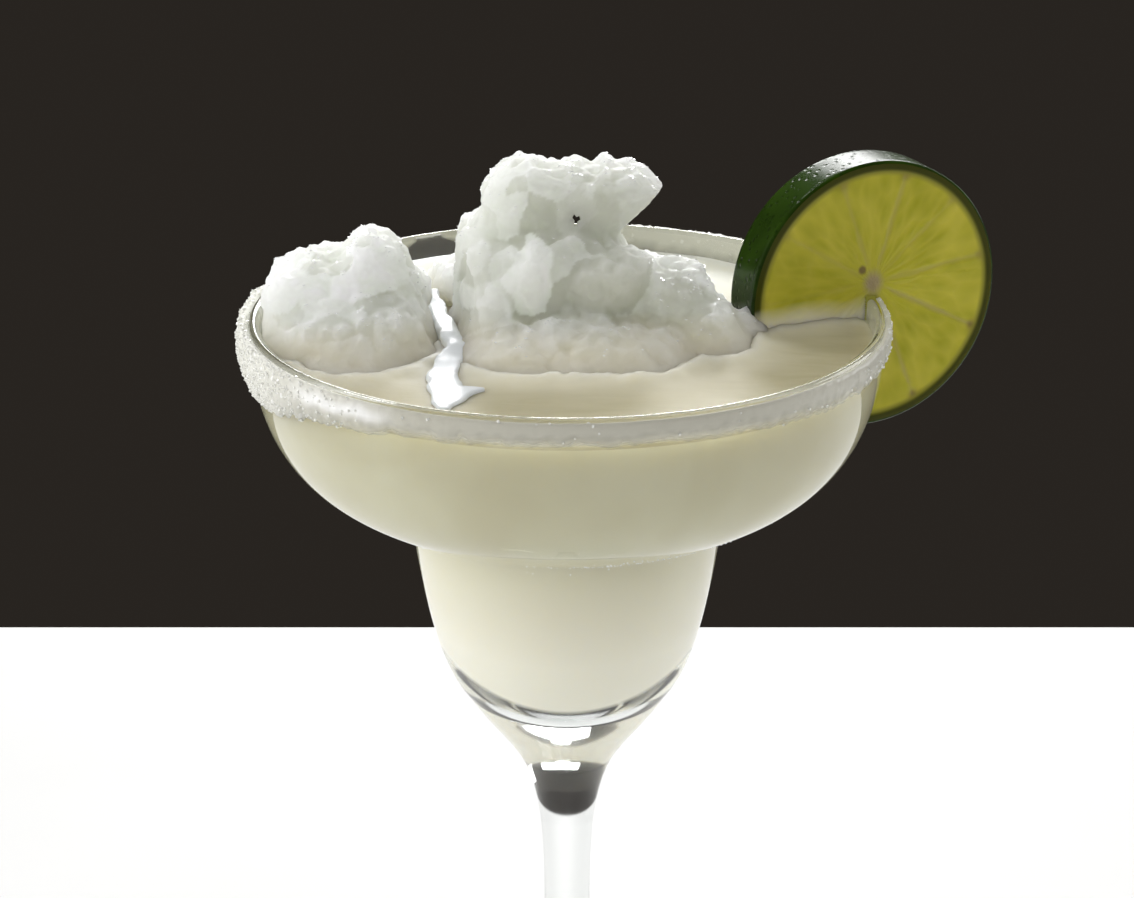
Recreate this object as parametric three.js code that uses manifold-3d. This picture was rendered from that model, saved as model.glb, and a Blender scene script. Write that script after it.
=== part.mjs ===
// Frozen margarita: a stepped stem glass filled with a pale frozen drink, a heap of wet ice lumps
// that stands above the rim, a salt crust round the outside of the rim, and a wheel of lime that is
// slit and pushed down over the rim.
// Millimetres, +Z up. The origin is the centre of the foot's underside, and the glass's axis is Z.
// The photographed side faces -Y, with the lime on the +X side.
import * as THREE from "three";
import { mergeVertices } from "three/addons/utils/BufferGeometryUtils.js";
import Module from "manifold-3d";

const wasm = await Module();
wasm.setup();

// Driving dimensions of the glass
const GLASS_HEIGHT = 175;
const RIM_RADIUS = 55.5;
const WALL = 1.9;
const STEP_RADIUS = 28; // where the wide bowl meets the narrow lower cup
const STEP_DEPTH = 36.5; // of that step, below the rim
const CUP_FOOT_RADIUS = 17; // where the lower cup turns into the stem's flare
const CUP_FOOT_DEPTH = 73.5;
const CUP_FLOOR_DEPTH = 74; // inside the lower cup, below the rim
const STEM_RADIUS = 4.2;
const STEM_TOP_DEPTH = 112;
const STEM_FOOT_HEIGHT = 22; // where the stem starts to spread into the foot
const FOOT_RADIUS = 38;
const FOOT_EDGE = 2.6; // the foot's thickness at its edge

// Driving dimensions of what the glass holds
const GAP = 0.3; // between neighbours that touch
const DRINK_DEPTH = 5; // of the drink's surface, below the rim
const SALT_HEIGHT = 4.4; // the crust's usual height and thickness
const SALT_THICKNESS = 1.1;
const LIME_RADIUS = 24.3;
const LIME_THICKNESS = 9.6;
const LIME_EDGE = 0.5; // rounding of the wheel's edge
const LIME_RIM_ANGLE = 14.5; // degrees round the rim from +X, where the wheel sits
const LIME_TURN = 23.7; // degrees that the wheel's face is turned from -Y towards +X
const LIME_OUTWARD = -0.3; // of the wheel's centre from the wall, along its face
const LIME_RISE = 0.2; // of the wheel's centre, above the rim

// How finely round things are divided
const TURN_STEPS = 44;
const BOWL_STEPS = 9;
const LIME_STEPS = 40;
const SALT_STEPS = 80;

const DRINK_LEVEL = GLASS_HEIGHT - DRINK_DEPTH;
const LIP_RADIUS = WALL / 2;
const radians = THREE.MathUtils.degToRad;
const at = (radius, height) => new THREE.Vector2(radius, height);

// A repeatable random number from 0 to 1, so that every build gives the same lumps.
function randomSource(seed) {
  let state = seed >>> 0;
  return () => {
    state = (state * 1664525 + 1013904223) >>> 0;
    return state / 4294967296;
  };
}

// Solids

function solidOf(geometry) {
  const bare = geometry.clone();
  bare.deleteAttribute("normal");
  bare.deleteAttribute("uv");
  const merged = mergeVertices(bare, 1e-4);
  const index = merged.index.array;
  const kept = [];
  for (let i = 0; i < index.length; i += 3) {
    const [a, b, c] = [index[i], index[i + 1], index[i + 2]];
    if (a !== b && b !== c && c !== a) kept.push(a, b, c);
  }
  return new wasm.Manifold(
    new wasm.Mesh({
      numProp: 3,
      vertProperties: new Float32Array(merged.attributes.position.array),
      triVerts: new Uint32Array(kept),
    }),
  );
}

function geometryOf(solid) {
  const { vertProperties, triVerts } = solid.getMesh();
  const geometry = new THREE.BufferGeometry();
  geometry.setAttribute("position", new THREE.BufferAttribute(vertProperties, 3));
  geometry.setIndex(new THREE.BufferAttribute(triVerts, 1));
  geometry.computeVertexNormals();
  return geometry;
}

const largestBody = (solid) => solid.decompose().sort((a, b) => b.volume() - a.volume())[0];

// A solid of revolution about Z, from an outline of radius against height.
function turned(outline) {
  return new THREE.LatheGeometry(outline, TURN_STEPS).rotateX(Math.PI / 2);
}

// The glass's outline, from the rim down to the foot

const rimCorner = at(RIM_RADIUS, GLASS_HEIGHT - LIP_RADIUS);
const stepCorner = at(STEP_RADIUS, GLASS_HEIGHT - STEP_DEPTH);
const cupFoot = at(CUP_FOOT_RADIUS, GLASS_HEIGHT - CUP_FOOT_DEPTH);
const stemTop = at(STEM_RADIUS, GLASS_HEIGHT - STEM_TOP_DEPTH);
const cupFootSlope = at(-0.57, -0.82); // the outline's direction as the cup turns into the flare

const bowlCurve = new THREE.CubicBezierCurve(
  rimCorner,
  at(RIM_RADIUS, GLASS_HEIGHT - 0.77 * STEP_DEPTH),
  at(STEP_RADIUS + 11.8, stepCorner.y + 4.4),
  stepCorner,
);
const cupCurve = new THREE.CubicBezierCurve(
  stepCorner,
  at(STEP_RADIUS - 3.7, stepCorner.y - 29.8),
  cupFoot.clone().addScaledVector(cupFootSlope, -5.8),
  cupFoot,
);
const flareCurve = new THREE.CubicBezierCurve(
  cupFoot,
  cupFoot.clone().addScaledVector(cupFootSlope, 15),
  at(STEM_RADIUS, stemTop.y + 25),
  stemTop,
);
const footCurve = new THREE.CubicBezierCurve(
  at(STEM_RADIUS, STEM_FOOT_HEIGHT),
  at(STEM_RADIUS, 6.5),
  at(12, 5.4),
  at(FOOT_RADIUS - FOOT_EDGE / 2, FOOT_EDGE),
);
const footEdge = new THREE.EllipseCurve(
  FOOT_RADIUS - FOOT_EDGE / 2,
  FOOT_EDGE / 2,
  FOOT_EDGE / 2,
  FOOT_EDGE / 2,
  Math.PI / 2,
  -Math.PI / 2,
  true,
);
const lipCurve = new THREE.EllipseCurve(
  RIM_RADIUS - LIP_RADIUS,
  GLASS_HEIGHT - LIP_RADIUS,
  LIP_RADIUS,
  LIP_RADIUS,
  0,
  Math.PI,
  false,
);

// Points along a curve, moved to the curve's right as it is followed, by a distance.
function pointsBeside(curve, divisions, distance) {
  return Array.from({ length: divisions + 1 }, (_, i) => {
    const tangent = curve.getTangent(i / divisions);
    return curve.getPoint(i / divisions).add(at(tangent.y, -tangent.x).multiplyScalar(distance));
  });
}

const INSIDE = 1; // the inside of the glass is on the right of the outline going down
const OUTSIDE = -1;

// The glass's inner face from the rim down to the floor of the lower cup, set in by a distance.
function innerOutline(inset) {
  const bowl = pointsBeside(bowlCurve, BOWL_STEPS, INSIDE * (WALL + inset));
  const cupTop = cupCurve.getPoint(0).add(at(-(WALL + 0.1 + inset), 0.2));
  const floor = GLASS_HEIGHT - CUP_FLOOR_DEPTH + inset;
  const cup = new THREE.CubicBezierCurve(
    cupTop,
    at(cupTop.x - 3, cupTop.y - 25.7),
    at(15.5 - inset, floor),
    at(0, floor),
  );
  return [...bowl, ...cup.getPoints(8)];
}

function glassGeometry() {
  const outerDown = [
    ...bowlCurve.getPoints(BOWL_STEPS),
    ...cupCurve.getPoints(5).slice(1),
    ...flareCurve.getPoints(7).slice(1),
    ...footCurve.getPoints(6),
    ...footEdge.getPoints(3).slice(1),
    at(0, 0),
  ];
  return turned([...outerDown.reverse(), ...lipCurve.getPoints(4).slice(1, -1), ...innerOutline(0)]);
}

// The wall near the rim, grown by the gap, which is what the lime's slit has to clear.
function rimClearance() {
  const reach = LIME_RADIUS + 8;
  const inner = pointsBeside(bowlCurve, BOWL_STEPS, INSIDE * (WALL + GAP)).filter(
    (p) => p.y > GLASS_HEIGHT - reach,
  );
  const outer = pointsBeside(bowlCurve, BOWL_STEPS, OUTSIDE * GAP).filter(
    (p) => p.y > GLASS_HEIGHT - reach,
  );
  const top = GLASS_HEIGHT + GAP;
  const ring = [...outer.reverse(), at(outer.at(-1).x, top), at(inner[0].x, top), ...inner];
  return turned([...ring, ring[0]]);
}

// The lime wheel, as made: its axis along Y, its centre at the origin

function limeDisc(grow) {
  const half = LIME_THICKNESS / 2 + grow;
  const radius = LIME_RADIUS + grow;
  const corner = (centreY, from) =>
    new THREE.EllipseCurve(radius - LIME_EDGE, centreY, LIME_EDGE, LIME_EDGE, from, from + Math.PI / 2)
      .getPoints(2);
  return new THREE.LatheGeometry(
    [
      at(0, -half),
      at(radius / 2, -half),
      ...corner(LIME_EDGE - half, -Math.PI / 2),
      ...corner(half - LIME_EDGE, 0),
      at(radius / 2, half),
      at(0, half),
    ],
    LIME_STEPS,
  );
}

// Where the wheel sits: astride the rim, its slit running from the centre down to its edge.
function limePlace() {
  const place = new THREE.Object3D();
  const seat = RIM_RADIUS - WALL / 2;
  const turn = radians(LIME_TURN);
  place.position.set(
    seat * Math.cos(radians(LIME_RIM_ANGLE)) + LIME_OUTWARD * Math.cos(turn),
    seat * Math.sin(radians(LIME_RIM_ANGLE)) + LIME_OUTWARD * Math.sin(turn),
    GLASS_HEIGHT + LIME_RISE,
  );
  place.rotation.z = turn;
  place.updateMatrixWorld();
  return place;
}

const limeAt = limePlace();
const limeClearance = solidOf(limeDisc(GAP).applyMatrix4(limeAt.matrixWorld));

function limeGeometry() {
  const slit = rimClearance().applyMatrix4(limeAt.matrixWorld.clone().invert());
  return geometryOf(solidOf(limeDisc(0)).subtract(solidOf(slit)));
}

// The drink: what fills the glass up to its level, cut round the lime

function drinkOutline() {
  const side = innerOutline(GAP).filter((p) => p.y < DRINK_LEVEL);
  return [at(0, DRINK_LEVEL), at(wallRadius(DRINK_DEPTH) - WALL - GAP, DRINK_LEVEL), ...side];
}

function drinkGeometry() {
  const full = solidOf(turned(drinkOutline().reverse()));
  return geometryOf(largestBody(full.subtract(limeClearance)));
}

// The outer wall's radius at a depth below the rim, found along the bowl's curve.
function wallRadius(depth) {
  let [low, high] = [0, 1];
  for (let i = 0; i < 30; i += 1) {
    const middle = (low + high) / 2;
    if (GLASS_HEIGHT - bowlCurve.getPoint(middle).y < depth) low = middle;
    else high = middle;
  }
  return bowlCurve.getPoint(low).x;
}

// The heap of ice: [x, y, height above the rim, half width, half depth, half height] of each lump
const LEFT_MOUND = [
  [-36, -12, -1.5, 15.5, 15, 8],
  [-45, -1, 4.5, 7, 8, 6.5],
  [-35, 5, 6.8, 6.4, 7, 7.2],
  [-41, 5, 4.2, 6, 7, 5],
  [-28, 10, 1.2, 8, 10, 6.5],
];
const TOWER = [
  [-8, 6, 19, 7.4, 7, 7.6],
  [3, 7, 18, 7.4, 6.6, 7.2],
  [9, 6, 19.6, 7, 5, 4.8],
  [13, 6, 20.8, 3.4, 2.8, 2.2],
  [-14, 4, 9.5, 6.6, 8, 9],
  [-1.5, 4, 11, 8.4, 8, 8.6],
  [-6.2, -7, 8, 5.6, 5.4, 6],
];
const RIGHT_MOUND = [
  [-14.5, -6, 2.5, 6.8, 8, 8],
  [9, -4, 4.8, 11.4, 8, 6.4],
  [24, -3, -2, 9.6, 10, 7.4],
  [-1.5, -19, -2, 14, 11, 7.6],
  [15.5, -16, -2.5, 8.4, 8.4, 6.6],
  [-13, -18, -2.5, 6, 8.4, 6.4],
];
const BACK_MOUND = [
  [-3, 18, 2, 14, 11, 8],
  [-19, 22, -1, 10, 9, 5.6],
  [13, 20, -1.5, 10, 9, 5.8],
];
const HEAP_CORES = [
  [-34, -2, -5, 17, 23, 6],
  [0, 0, -5, 28, 29, 8],
];
const LUMP_UNEVENNESS = 0.16; // of a lump's half width
const CORE_UNEVENNESS = 0.05;

// A few-sided lump: a split icosahedron with each corner moved in or out, scaled and turned.
function lump([x, y, aboveRim, halfWidth, halfDepth, halfHeight], unevenness, random) {
  const ball = new THREE.IcosahedronGeometry(1, 1);
  ball.deleteAttribute("normal");
  ball.deleteAttribute("uv");
  const shape = mergeVertices(ball, 1e-4);
  const corners = shape.attributes.position;
  for (let i = 0; i < corners.count; i += 1) {
    const reach = 1 + unevenness * (2 * random() - 1);
    corners.setXYZ(i, corners.getX(i) * reach, corners.getY(i) * reach, corners.getZ(i) * reach);
  }
  shape.rotateZ(2 * Math.PI * random());
  shape.scale(halfWidth, halfDepth, halfHeight);
  shape.translate(x, y, GLASS_HEIGHT + aboveRim);
  return solidOf(shape);
}

// The room for the heap: above the drink and inside the wall, carried straight up past the rim.
function heapRoom() {
  const base = DRINK_LEVEL + GAP;
  const top = GLASS_HEIGHT + 60;
  const wall = [0, 1, 3].map((depth) => at(wallRadius(depth) - WALL - GAP, GLASS_HEIGHT - depth));
  const foot = at(wallRadius(DRINK_DEPTH - GAP) - WALL - GAP, base);
  return turned([at(0, base), foot, ...wall.reverse(), at(wall.at(-1).x, top), at(0, top)]);
}

function heapGeometry() {
  const random = randomSource(7);
  const cores = HEAP_CORES.map((core) => lump(core, CORE_UNEVENNESS, random));
  const pieces = [LEFT_MOUND, TOWER, RIGHT_MOUND, BACK_MOUND]
    .flat()
    .map((row) => lump(row, LUMP_UNEVENNESS, random));
  const heap = [...cores, ...pieces].reduce((whole, piece) => whole.add(piece));
  const fitted = heap.intersect(solidOf(heapRoom())).subtract(limeClearance);
  return geometryOf(largestBody(fitted));
}

// The salt: a craggy crust round the outside of the rim, deepest on the -X side

function saltGeometry() {
  const random = randomSource(11);
  const rows = 3; // steps down the crust's outer face
  const ring = [];
  for (let i = 0; i < SALT_STEPS; i += 1) {
    const angle = (2 * Math.PI * i) / SALT_STEPS;
    const left = Math.max(0, -Math.cos(angle)) ** 3;
    const height = SALT_HEIGHT * (1 + 1.2 * left + 0.35 * (random() - 0.5));
    const thickness = SALT_THICKNESS * (1 + 0.9 * left + 0.5 * (random() - 0.5));
    const section = [];
    for (let row = 0; row <= rows; row += 1) {
      const depth = LIP_RADIUS + (height * row) / rows;
      section.push([wallRadius(depth) + GAP, depth]);
    }
    for (let row = rows; row >= 0; row -= 1) {
      const swell = row === rows ? 0.35 : 0.8 + 0.4 * random();
      const depth = LIP_RADIUS + (height * row) / rows - (row === 0 ? 0.4 * thickness : 0);
      section.push([wallRadius(Math.max(depth, LIP_RADIUS)) + GAP + thickness * swell, depth]);
    }
    ring.push(section.map(([r, depth]) => [r * Math.cos(angle), r * Math.sin(angle), GLASS_HEIGHT - depth]));
  }
  const around = ring[0].length;
  const faces = [];
  for (let i = 0; i < SALT_STEPS; i += 1) {
    for (let j = 0; j < around; j += 1) {
      const [here, next] = [i * around, ((i + 1) % SALT_STEPS) * around];
      const beside = (j + 1) % around;
      faces.push(here + j, next + beside, here + beside, here + j, next + j, next + beside);
    }
  }
  const crust = new THREE.BufferGeometry();
  crust.setAttribute("position", new THREE.Float32BufferAttribute(ring.flat(2), 3));
  crust.setIndex(faces);
  return geometryOf(largestBody(solidOf(crust).subtract(limeClearance)));
}

// The scene graph

function piece(name, geometry, color, roughness, extra = {}) {
  const material = new THREE.MeshStandardMaterial({ color, roughness, metalness: 0, ...extra });
  const mesh = new THREE.Mesh(geometry, material);
  mesh.name = name;
  return mesh;
}

const margarita = new THREE.Group();
margarita.name = "frozen_margarita";

const clear = { transparent: true, opacity: 0.35 };
const vessel = new THREE.Group();
vessel.add(piece("glass", glassGeometry(), 0xf2f6f4, 0.03, clear));
vessel.add(piece("salt_rim", saltGeometry(), 0xdfe2da, 0.8));

const contents = new THREE.Group();
contents.add(piece("drink", drinkGeometry(), 0xcdc7a6, 0.25));
contents.add(piece("ice_heap", heapGeometry(), 0xdde0d6, 0.2));

const garnish = new THREE.Group();
garnish.position.copy(limeAt.position);
garnish.rotation.copy(limeAt.rotation);
garnish.add(piece("lime_wheel", limeGeometry(), 0x9aa032, 0.35));

margarita.add(vessel, contents, garnish);

export default margarita;
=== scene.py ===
"""Frozen margarita: a clear stepped glass, a cloudy drink, a heap of wet ice, a salted rim and a lime wheel.

Sizes are in millimetres and are turned into metres as each mesh is made.
"""

import logging
import math
from dataclasses import dataclass, field
from enum import Enum
from typing import Sequence

import bmesh
import bpy
import numpy as np
from mathutils import Matrix, Vector, kdtree, noise
from mathutils.bvhtree import BVHTree


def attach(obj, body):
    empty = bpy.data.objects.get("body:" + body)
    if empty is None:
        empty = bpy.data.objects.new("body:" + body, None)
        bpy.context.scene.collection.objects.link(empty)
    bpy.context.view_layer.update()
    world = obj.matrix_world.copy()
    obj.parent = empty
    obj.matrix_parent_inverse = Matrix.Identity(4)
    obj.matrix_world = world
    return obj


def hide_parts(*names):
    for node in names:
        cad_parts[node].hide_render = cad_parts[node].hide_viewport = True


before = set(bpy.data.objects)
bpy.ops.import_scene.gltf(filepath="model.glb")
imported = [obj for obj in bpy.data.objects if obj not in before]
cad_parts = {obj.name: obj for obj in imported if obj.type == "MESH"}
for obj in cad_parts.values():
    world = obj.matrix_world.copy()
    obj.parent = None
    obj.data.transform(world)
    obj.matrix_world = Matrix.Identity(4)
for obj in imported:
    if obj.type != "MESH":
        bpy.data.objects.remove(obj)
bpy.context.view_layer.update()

LOG = logging.getLogger("frozen_margarita")
MM = 0.001
BODY = "root"

Colour = tuple[float, float, float]
Point = tuple[float, float]
SocketValue = float | Sequence[float] | str | bpy.types.NodeSocket


class Slot(Enum):
    """The material slots."""

    GLASS = "glass"
    DRINK = "drink"
    ICE = "ice"
    SALT = "salt"
    LIME = "lime"


class Node(Enum):
    """The solids that the pieces here stand for."""

    GLASS = "glass"
    DRINK = "drink"
    ICE = "ice_heap"
    SALT = "salt_rim"
    LIME = "lime_wheel"


class Solver(Enum):
    """The ways to cut one shape out of another."""

    QUICK = "FAST"
    EXACT = "EXACT"


class Operation(Enum):
    """Operations on two values in a sheet."""

    SUM = "ADD"
    PRODUCT = "MULTIPLY"
    LARGER = "MAXIMUM"


# Curves and meshes


def bezier(start: Point, pull: Point, push: Point, end: Point, steps: int) -> list[Point]:
    """Points along a cubic curve.

    Args:
        start: Where the curve starts.
        pull: The handle that it leaves by.
        push: The handle that it arrives by.
        end: Where the curve ends.
        steps: How many stretches it is cut into.

    Returns:
        steps + 1 points, both ends included.
    """
    t = np.linspace(0.0, 1.0, steps + 1)[:, None]
    curve = (
        (1 - t) ** 3 * np.array(start)
        + 3 * (1 - t) ** 2 * t * np.array(pull)
        + 3 * (1 - t) * t**2 * np.array(push)
        + t**3 * np.array(end)
    )
    return [tuple(p) for p in curve]


def arc(centre: Point, radius: float, first: float, last: float, steps: int) -> list[Point]:
    """Points along an arc.

    Args:
        centre: The arc's centre.
        radius: Its radius.
        first: The angle it starts at, in degrees.
        last: The angle it ends at, in degrees.
        steps: How many stretches it is cut into.

    Returns:
        steps + 1 points, both ends included.
    """
    angles = np.radians(np.linspace(first, last, steps + 1))
    return [(centre[0] + radius * math.cos(a), centre[1] + radius * math.sin(a)) for a in angles]


def beside(points: list[Point], distance: float) -> list[Point]:
    """Moves a line of points to its right, as it is followed.

    Args:
        points: The line.
        distance: How far it moves.

    Returns:
        The moved line.
    """
    line = np.array(points)
    along = np.gradient(line, axis=0)
    along /= np.linalg.norm(along, axis=1)[:, None]
    moved = line + distance * np.stack([along[:, 1], -along[:, 0]], axis=1)
    return [tuple(p) for p in moved]


@dataclass
class MeshData:
    """Corners in millimetres and the faces between them, with a material number for each face."""

    corners: np.ndarray
    faces: list[tuple[int, ...]]
    finishes: list[int] = field(default_factory=list)

    def flipped(self) -> "MeshData":
        """The same mesh with its faces turned round."""
        return MeshData(self.corners, [face[::-1] for face in self.faces], self.finishes)


def turned(outline: list[Point], steps: int) -> MeshData:
    """Revolves an outline about Z.

    Args:
        outline: Radius and height of each point. It starts and ends on the axis, and its outside is on
            the right as it is followed.
        steps: How many sides a full turn has.

    Returns:
        A closed mesh. The rings follow each other, and the two poles come last.
    """
    rings = np.array(outline[1:-1])
    angles = np.linspace(0.0, 2 * math.pi, steps, endpoint=False)
    x = np.outer(rings[:, 0], np.cos(angles))
    y = np.outer(rings[:, 0], np.sin(angles))
    z = np.repeat(rings[:, 1:], steps, axis=1)
    corners = np.stack([x, y, z], axis=2).reshape(-1, 3)
    first_pole = len(corners)
    last_pole = first_pole + 1
    poles = np.array([[0.0, 0.0, outline[0][1]], [0.0, 0.0, outline[-1][1]]])
    here = np.arange(steps)
    after = np.roll(here, -1)
    faces: list[tuple[int, ...]] = [(first_pole, b, a) for a, b in zip(here.tolist(), after.tolist())]
    for ring in range(len(rings) - 1):
        low = ring * steps
        high = low + steps
        quads = np.stack([low + here, low + after, high + after, high + here], axis=1)
        faces.extend(map(tuple, quads.tolist()))
    top = (len(rings) - 1) * steps
    faces.extend((top + a, top + b, last_pole) for a, b in zip(here.tolist(), after.tolist()))
    return MeshData(np.vstack([corners, poles]), faces)


def wrapped(sections: np.ndarray) -> MeshData:
    """Joins closed sections, one after another, into a closed ring.

    Args:
        sections: Section by section, the corners of each, counted the same way round.

    Returns:
        The ring.
    """
    count, around, _ = sections.shape
    here = np.arange(count * around).reshape(count, around)
    beside_it = np.roll(here, -1, axis=1)
    after = np.roll(here, -1, axis=0)
    across = np.roll(after, -1, axis=1)
    quads = np.stack([here, after, across, beside_it], axis=2).reshape(-1, 4)
    return MeshData(sections.reshape(-1, 3), [tuple(q) for q in quads.tolist()])


def as_object(name: str, data: MeshData, *materials: bpy.types.Material) -> bpy.types.Object:
    """Makes a smooth mesh object at the origin, in metres.

    Args:
        name: The piece's name.
        data: Its mesh, in millimetres.
        materials: Its materials, in the order of the faces' numbers.

    Returns:
        The new object, linked to the scene.
    """
    mesh = bpy.data.meshes.new(name)
    mesh.from_pydata((data.corners * MM).tolist(), [], data.faces)
    for material in materials:
        mesh.materials.append(material)
    if data.finishes:
        mesh.polygons.foreach_set("material_index", data.finishes)
    mesh.shade_smooth()
    mesh.update()
    piece = bpy.data.objects.new(name, mesh)
    bpy.context.scene.collection.objects.link(piece)
    return piece


def corners_of(piece: bpy.types.Object) -> np.ndarray:
    """A piece's corners, in millimetres.

    Args:
        piece: The piece.

    Returns:
        Its corners, one to a row.
    """
    flat = np.empty(len(piece.data.vertices) * 3)
    piece.data.vertices.foreach_get("co", flat)
    return flat.reshape(-1, 3) / MM


def normals_of(piece: bpy.types.Object) -> np.ndarray:
    """The directions that a piece's corners face.

    Args:
        piece: The piece.

    Returns:
        One direction to a row, in the order of the corners.
    """
    flat = np.empty(len(piece.data.vertices) * 3)
    piece.data.vertices.foreach_get("normal", flat)
    return flat.reshape(-1, 3)


def move_corners(piece: bpy.types.Object, corners: np.ndarray) -> None:
    """Gives a piece new corners, in millimetres."""
    piece.data.vertices.foreach_set("co", (corners * MM).ravel())
    piece.data.update()


def set_attribute(piece: bpy.types.Object, name: str, values: np.ndarray) -> None:
    """Stores a number for each corner, for a material or a scatter to read."""
    attribute = piece.data.attributes.new(name, "FLOAT", "POINT")
    attribute.data.foreach_set("value", np.asarray(values, dtype=np.float32))


def bake_modifiers(piece: bpy.types.Object) -> None:
    """Replaces a piece's mesh by what its modifiers make of it, and removes them.

    Args:
        piece: The piece.
    """
    graph = bpy.context.evaluated_depsgraph_get()
    made = bpy.data.meshes.new_from_object(piece.evaluated_get(graph))
    piece.modifiers.clear()
    piece.data = made


def joined(parts: Sequence[MeshData]) -> MeshData:
    """Several meshes as one, in the same order.

    Args:
        parts: The meshes.

    Returns:
        One mesh of them all.
    """
    faces: list[tuple[int, ...]] = []
    start = 0
    for part in parts:
        faces.extend(tuple(start + i for i in face) for face in part.faces)
        start += len(part.corners)
    return MeshData(np.vstack([part.corners for part in parts]), faces)


def fuse(piece: bpy.types.Object, voxel: float, smoothing: int) -> None:
    """Melts what a piece is made of into one skin.

    Args:
        piece: The piece.
        voxel: The size of the new skin's faces, in millimetres.
        smoothing: How many rounds of smoothing follow.
    """
    remesh = piece.modifiers.new("fuse", "REMESH")
    remesh.mode = "VOXEL"
    remesh.voxel_size = voxel * MM
    smooth = piece.modifiers.new("melt", "SMOOTH")
    smooth.factor = 0.5
    smooth.iterations = smoothing
    bake_modifiers(piece)


def cut_away(piece: bpy.types.Object, shape: MeshData, solver: Solver) -> None:
    """Cuts a shape out of a piece.

    Args:
        piece: The piece.
        shape: What is cut out of it.
        solver: How it is cut.
    """
    cutter = as_object("cutter", shape)
    cut = piece.modifiers.new("cut", "BOOLEAN")
    cut.operation = "DIFFERENCE"
    cut.solver = solver.value
    cut.object = cutter
    bake_modifiers(piece)
    bpy.data.objects.remove(cutter)


def cells_at(points: np.ndarray) -> np.ndarray:
    """How far each point is from the nearest of some scattered seeds, about one to each unit cube."""
    return np.array([noise.voronoi(Vector(p))[0][0] for p in points.tolist()])


def noise_at(points: np.ndarray, wavelength: float, offset: float = 0.0) -> np.ndarray:
    """Smooth noise from about -1 to 1 at each point.

    Args:
        points: The points, in millimetres.
        wavelength: The size of the noise's lumps, in millimetres.
        offset: Moves the noise, so that two uses differ.

    Returns:
        One number for each point.
    """
    shifted = points / wavelength + offset
    return np.array([noise.noise(Vector(p)) for p in shifted.tolist()])


def declare(piece: bpy.types.Object, slot: Slot, *nodes: Node) -> bpy.types.Object:
    """Fixes a finished piece to the body, hides the solids that it stands for and logs its faces.

    Args:
        piece: The finished piece.
        slot: The material slot that it takes its finish from; not used.
        nodes: The solids that it stands for.

    Returns:
        The same piece.
    """
    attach(piece, BODY)
    for node in nodes:
        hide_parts(node.value)
    LOG.info("%s: %d faces", piece.name, len(piece.data.polygons))
    return piece


# Shader sheets


def add_node(tree: bpy.types.NodeTree, kind: str, inputs: dict[str | int, SocketValue] | None = None,
             **settings: str | bool | int | bpy.types.NodeTree) -> bpy.types.Node:
    """Adds a node and sets or links its inputs.

    Args:
        tree: The sheet that the node goes on.
        kind: Blender's name for the node.
        inputs: A value, or the socket to link from, for each named input.
        settings: The node's own settings.

    Returns:
        The new node.
    """
    node = tree.nodes.new(kind)
    for name, value in settings.items():
        setattr(node, name, value)
    for name, value in (inputs or {}).items():
        if isinstance(value, bpy.types.NodeSocket):
            tree.links.new(value, node.inputs[name])
        else:
            node.inputs[name].default_value = value
    return node


def mixed(tree: bpy.types.NodeTree, share: SocketValue, first: SocketValue,
          second: SocketValue) -> bpy.types.NodeSocket:
    """A mix of two colours.

    Args:
        tree: The sheet.
        share: How much of the second colour, from 0 to 1.
        first: The first colour.
        second: The second colour.

    Returns:
        The mixed colour's socket.
    """
    first_input = 6
    second_input = 7
    inputs = {0: share, first_input: first, second_input: second}
    node = add_node(tree, "ShaderNodeMix", inputs, data_type="RGBA")
    return node.outputs[2]


def ranged(tree: bpy.types.NodeTree, value: SocketValue, low: float, high: float, to_low: float = 0.0,
           to_high: float = 1.0) -> bpy.types.NodeSocket:
    """A value carried from one range to another, and held inside it.

    Args:
        tree: The sheet.
        value: The value.
        low: The low end of the range it comes in.
        high: The high end of that range.
        to_low: What the low end becomes.
        to_high: What the high end becomes.

    Returns:
        The new value's socket.
    """
    inputs = {"Value": value, "From Min": low, "From Max": high, "To Min": to_low, "To Max": to_high}
    return add_node(tree, "ShaderNodeMapRange", inputs).outputs["Result"]


def opaque(colour: Colour) -> tuple[float, float, float, float]:
    """A colour as the sockets take it."""
    return (*colour, 1.0)


def object_place(tree: bpy.types.NodeTree) -> bpy.types.NodeSocket:
    """The socket that gives a point's place on the object."""
    return add_node(tree, "ShaderNodeTexCoord").outputs["Object"]


def read_attribute(tree: bpy.types.NodeTree, name: str) -> bpy.types.NodeSocket:
    """The socket that gives a number stored on the mesh."""
    return add_node(tree, "ShaderNodeAttribute", attribute_name=name).outputs["Fac"]


def place_along(tree: bpy.types.NodeTree, axis: str) -> bpy.types.NodeSocket:
    """The socket that gives a point's place along one axis of the object."""
    return add_node(tree, "ShaderNodeSeparateXYZ", {0: object_place(tree)}).outputs[axis]


def worked_out(tree: bpy.types.NodeTree, operation: Operation, first: SocketValue,
               second: SocketValue) -> bpy.types.NodeSocket:
    """The result of an operation on two values.

    Args:
        tree: The sheet.
        operation: What is done with them.
        first: The first value.
        second: The second value.

    Returns:
        The result's socket.
    """
    return add_node(tree, "ShaderNodeMath", {0: first, 1: second}, operation=operation.value).outputs[0]


def blended(tree: bpy.types.NodeTree, share: SocketValue, first: bpy.types.Node,
            second: bpy.types.Node) -> bpy.types.NodeSocket:
    """A mix of two shaders.

    Args:
        tree: The sheet.
        share: How much of the second shader, from 0 to 1.
        first: The first shader.
        second: The second shader.

    Returns:
        The mixed shader's socket.
    """
    inputs = {0: share, 1: first.outputs[0], 2: second.outputs[0]}
    return add_node(tree, "ShaderNodeMixShader", inputs).outputs[0]


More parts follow.
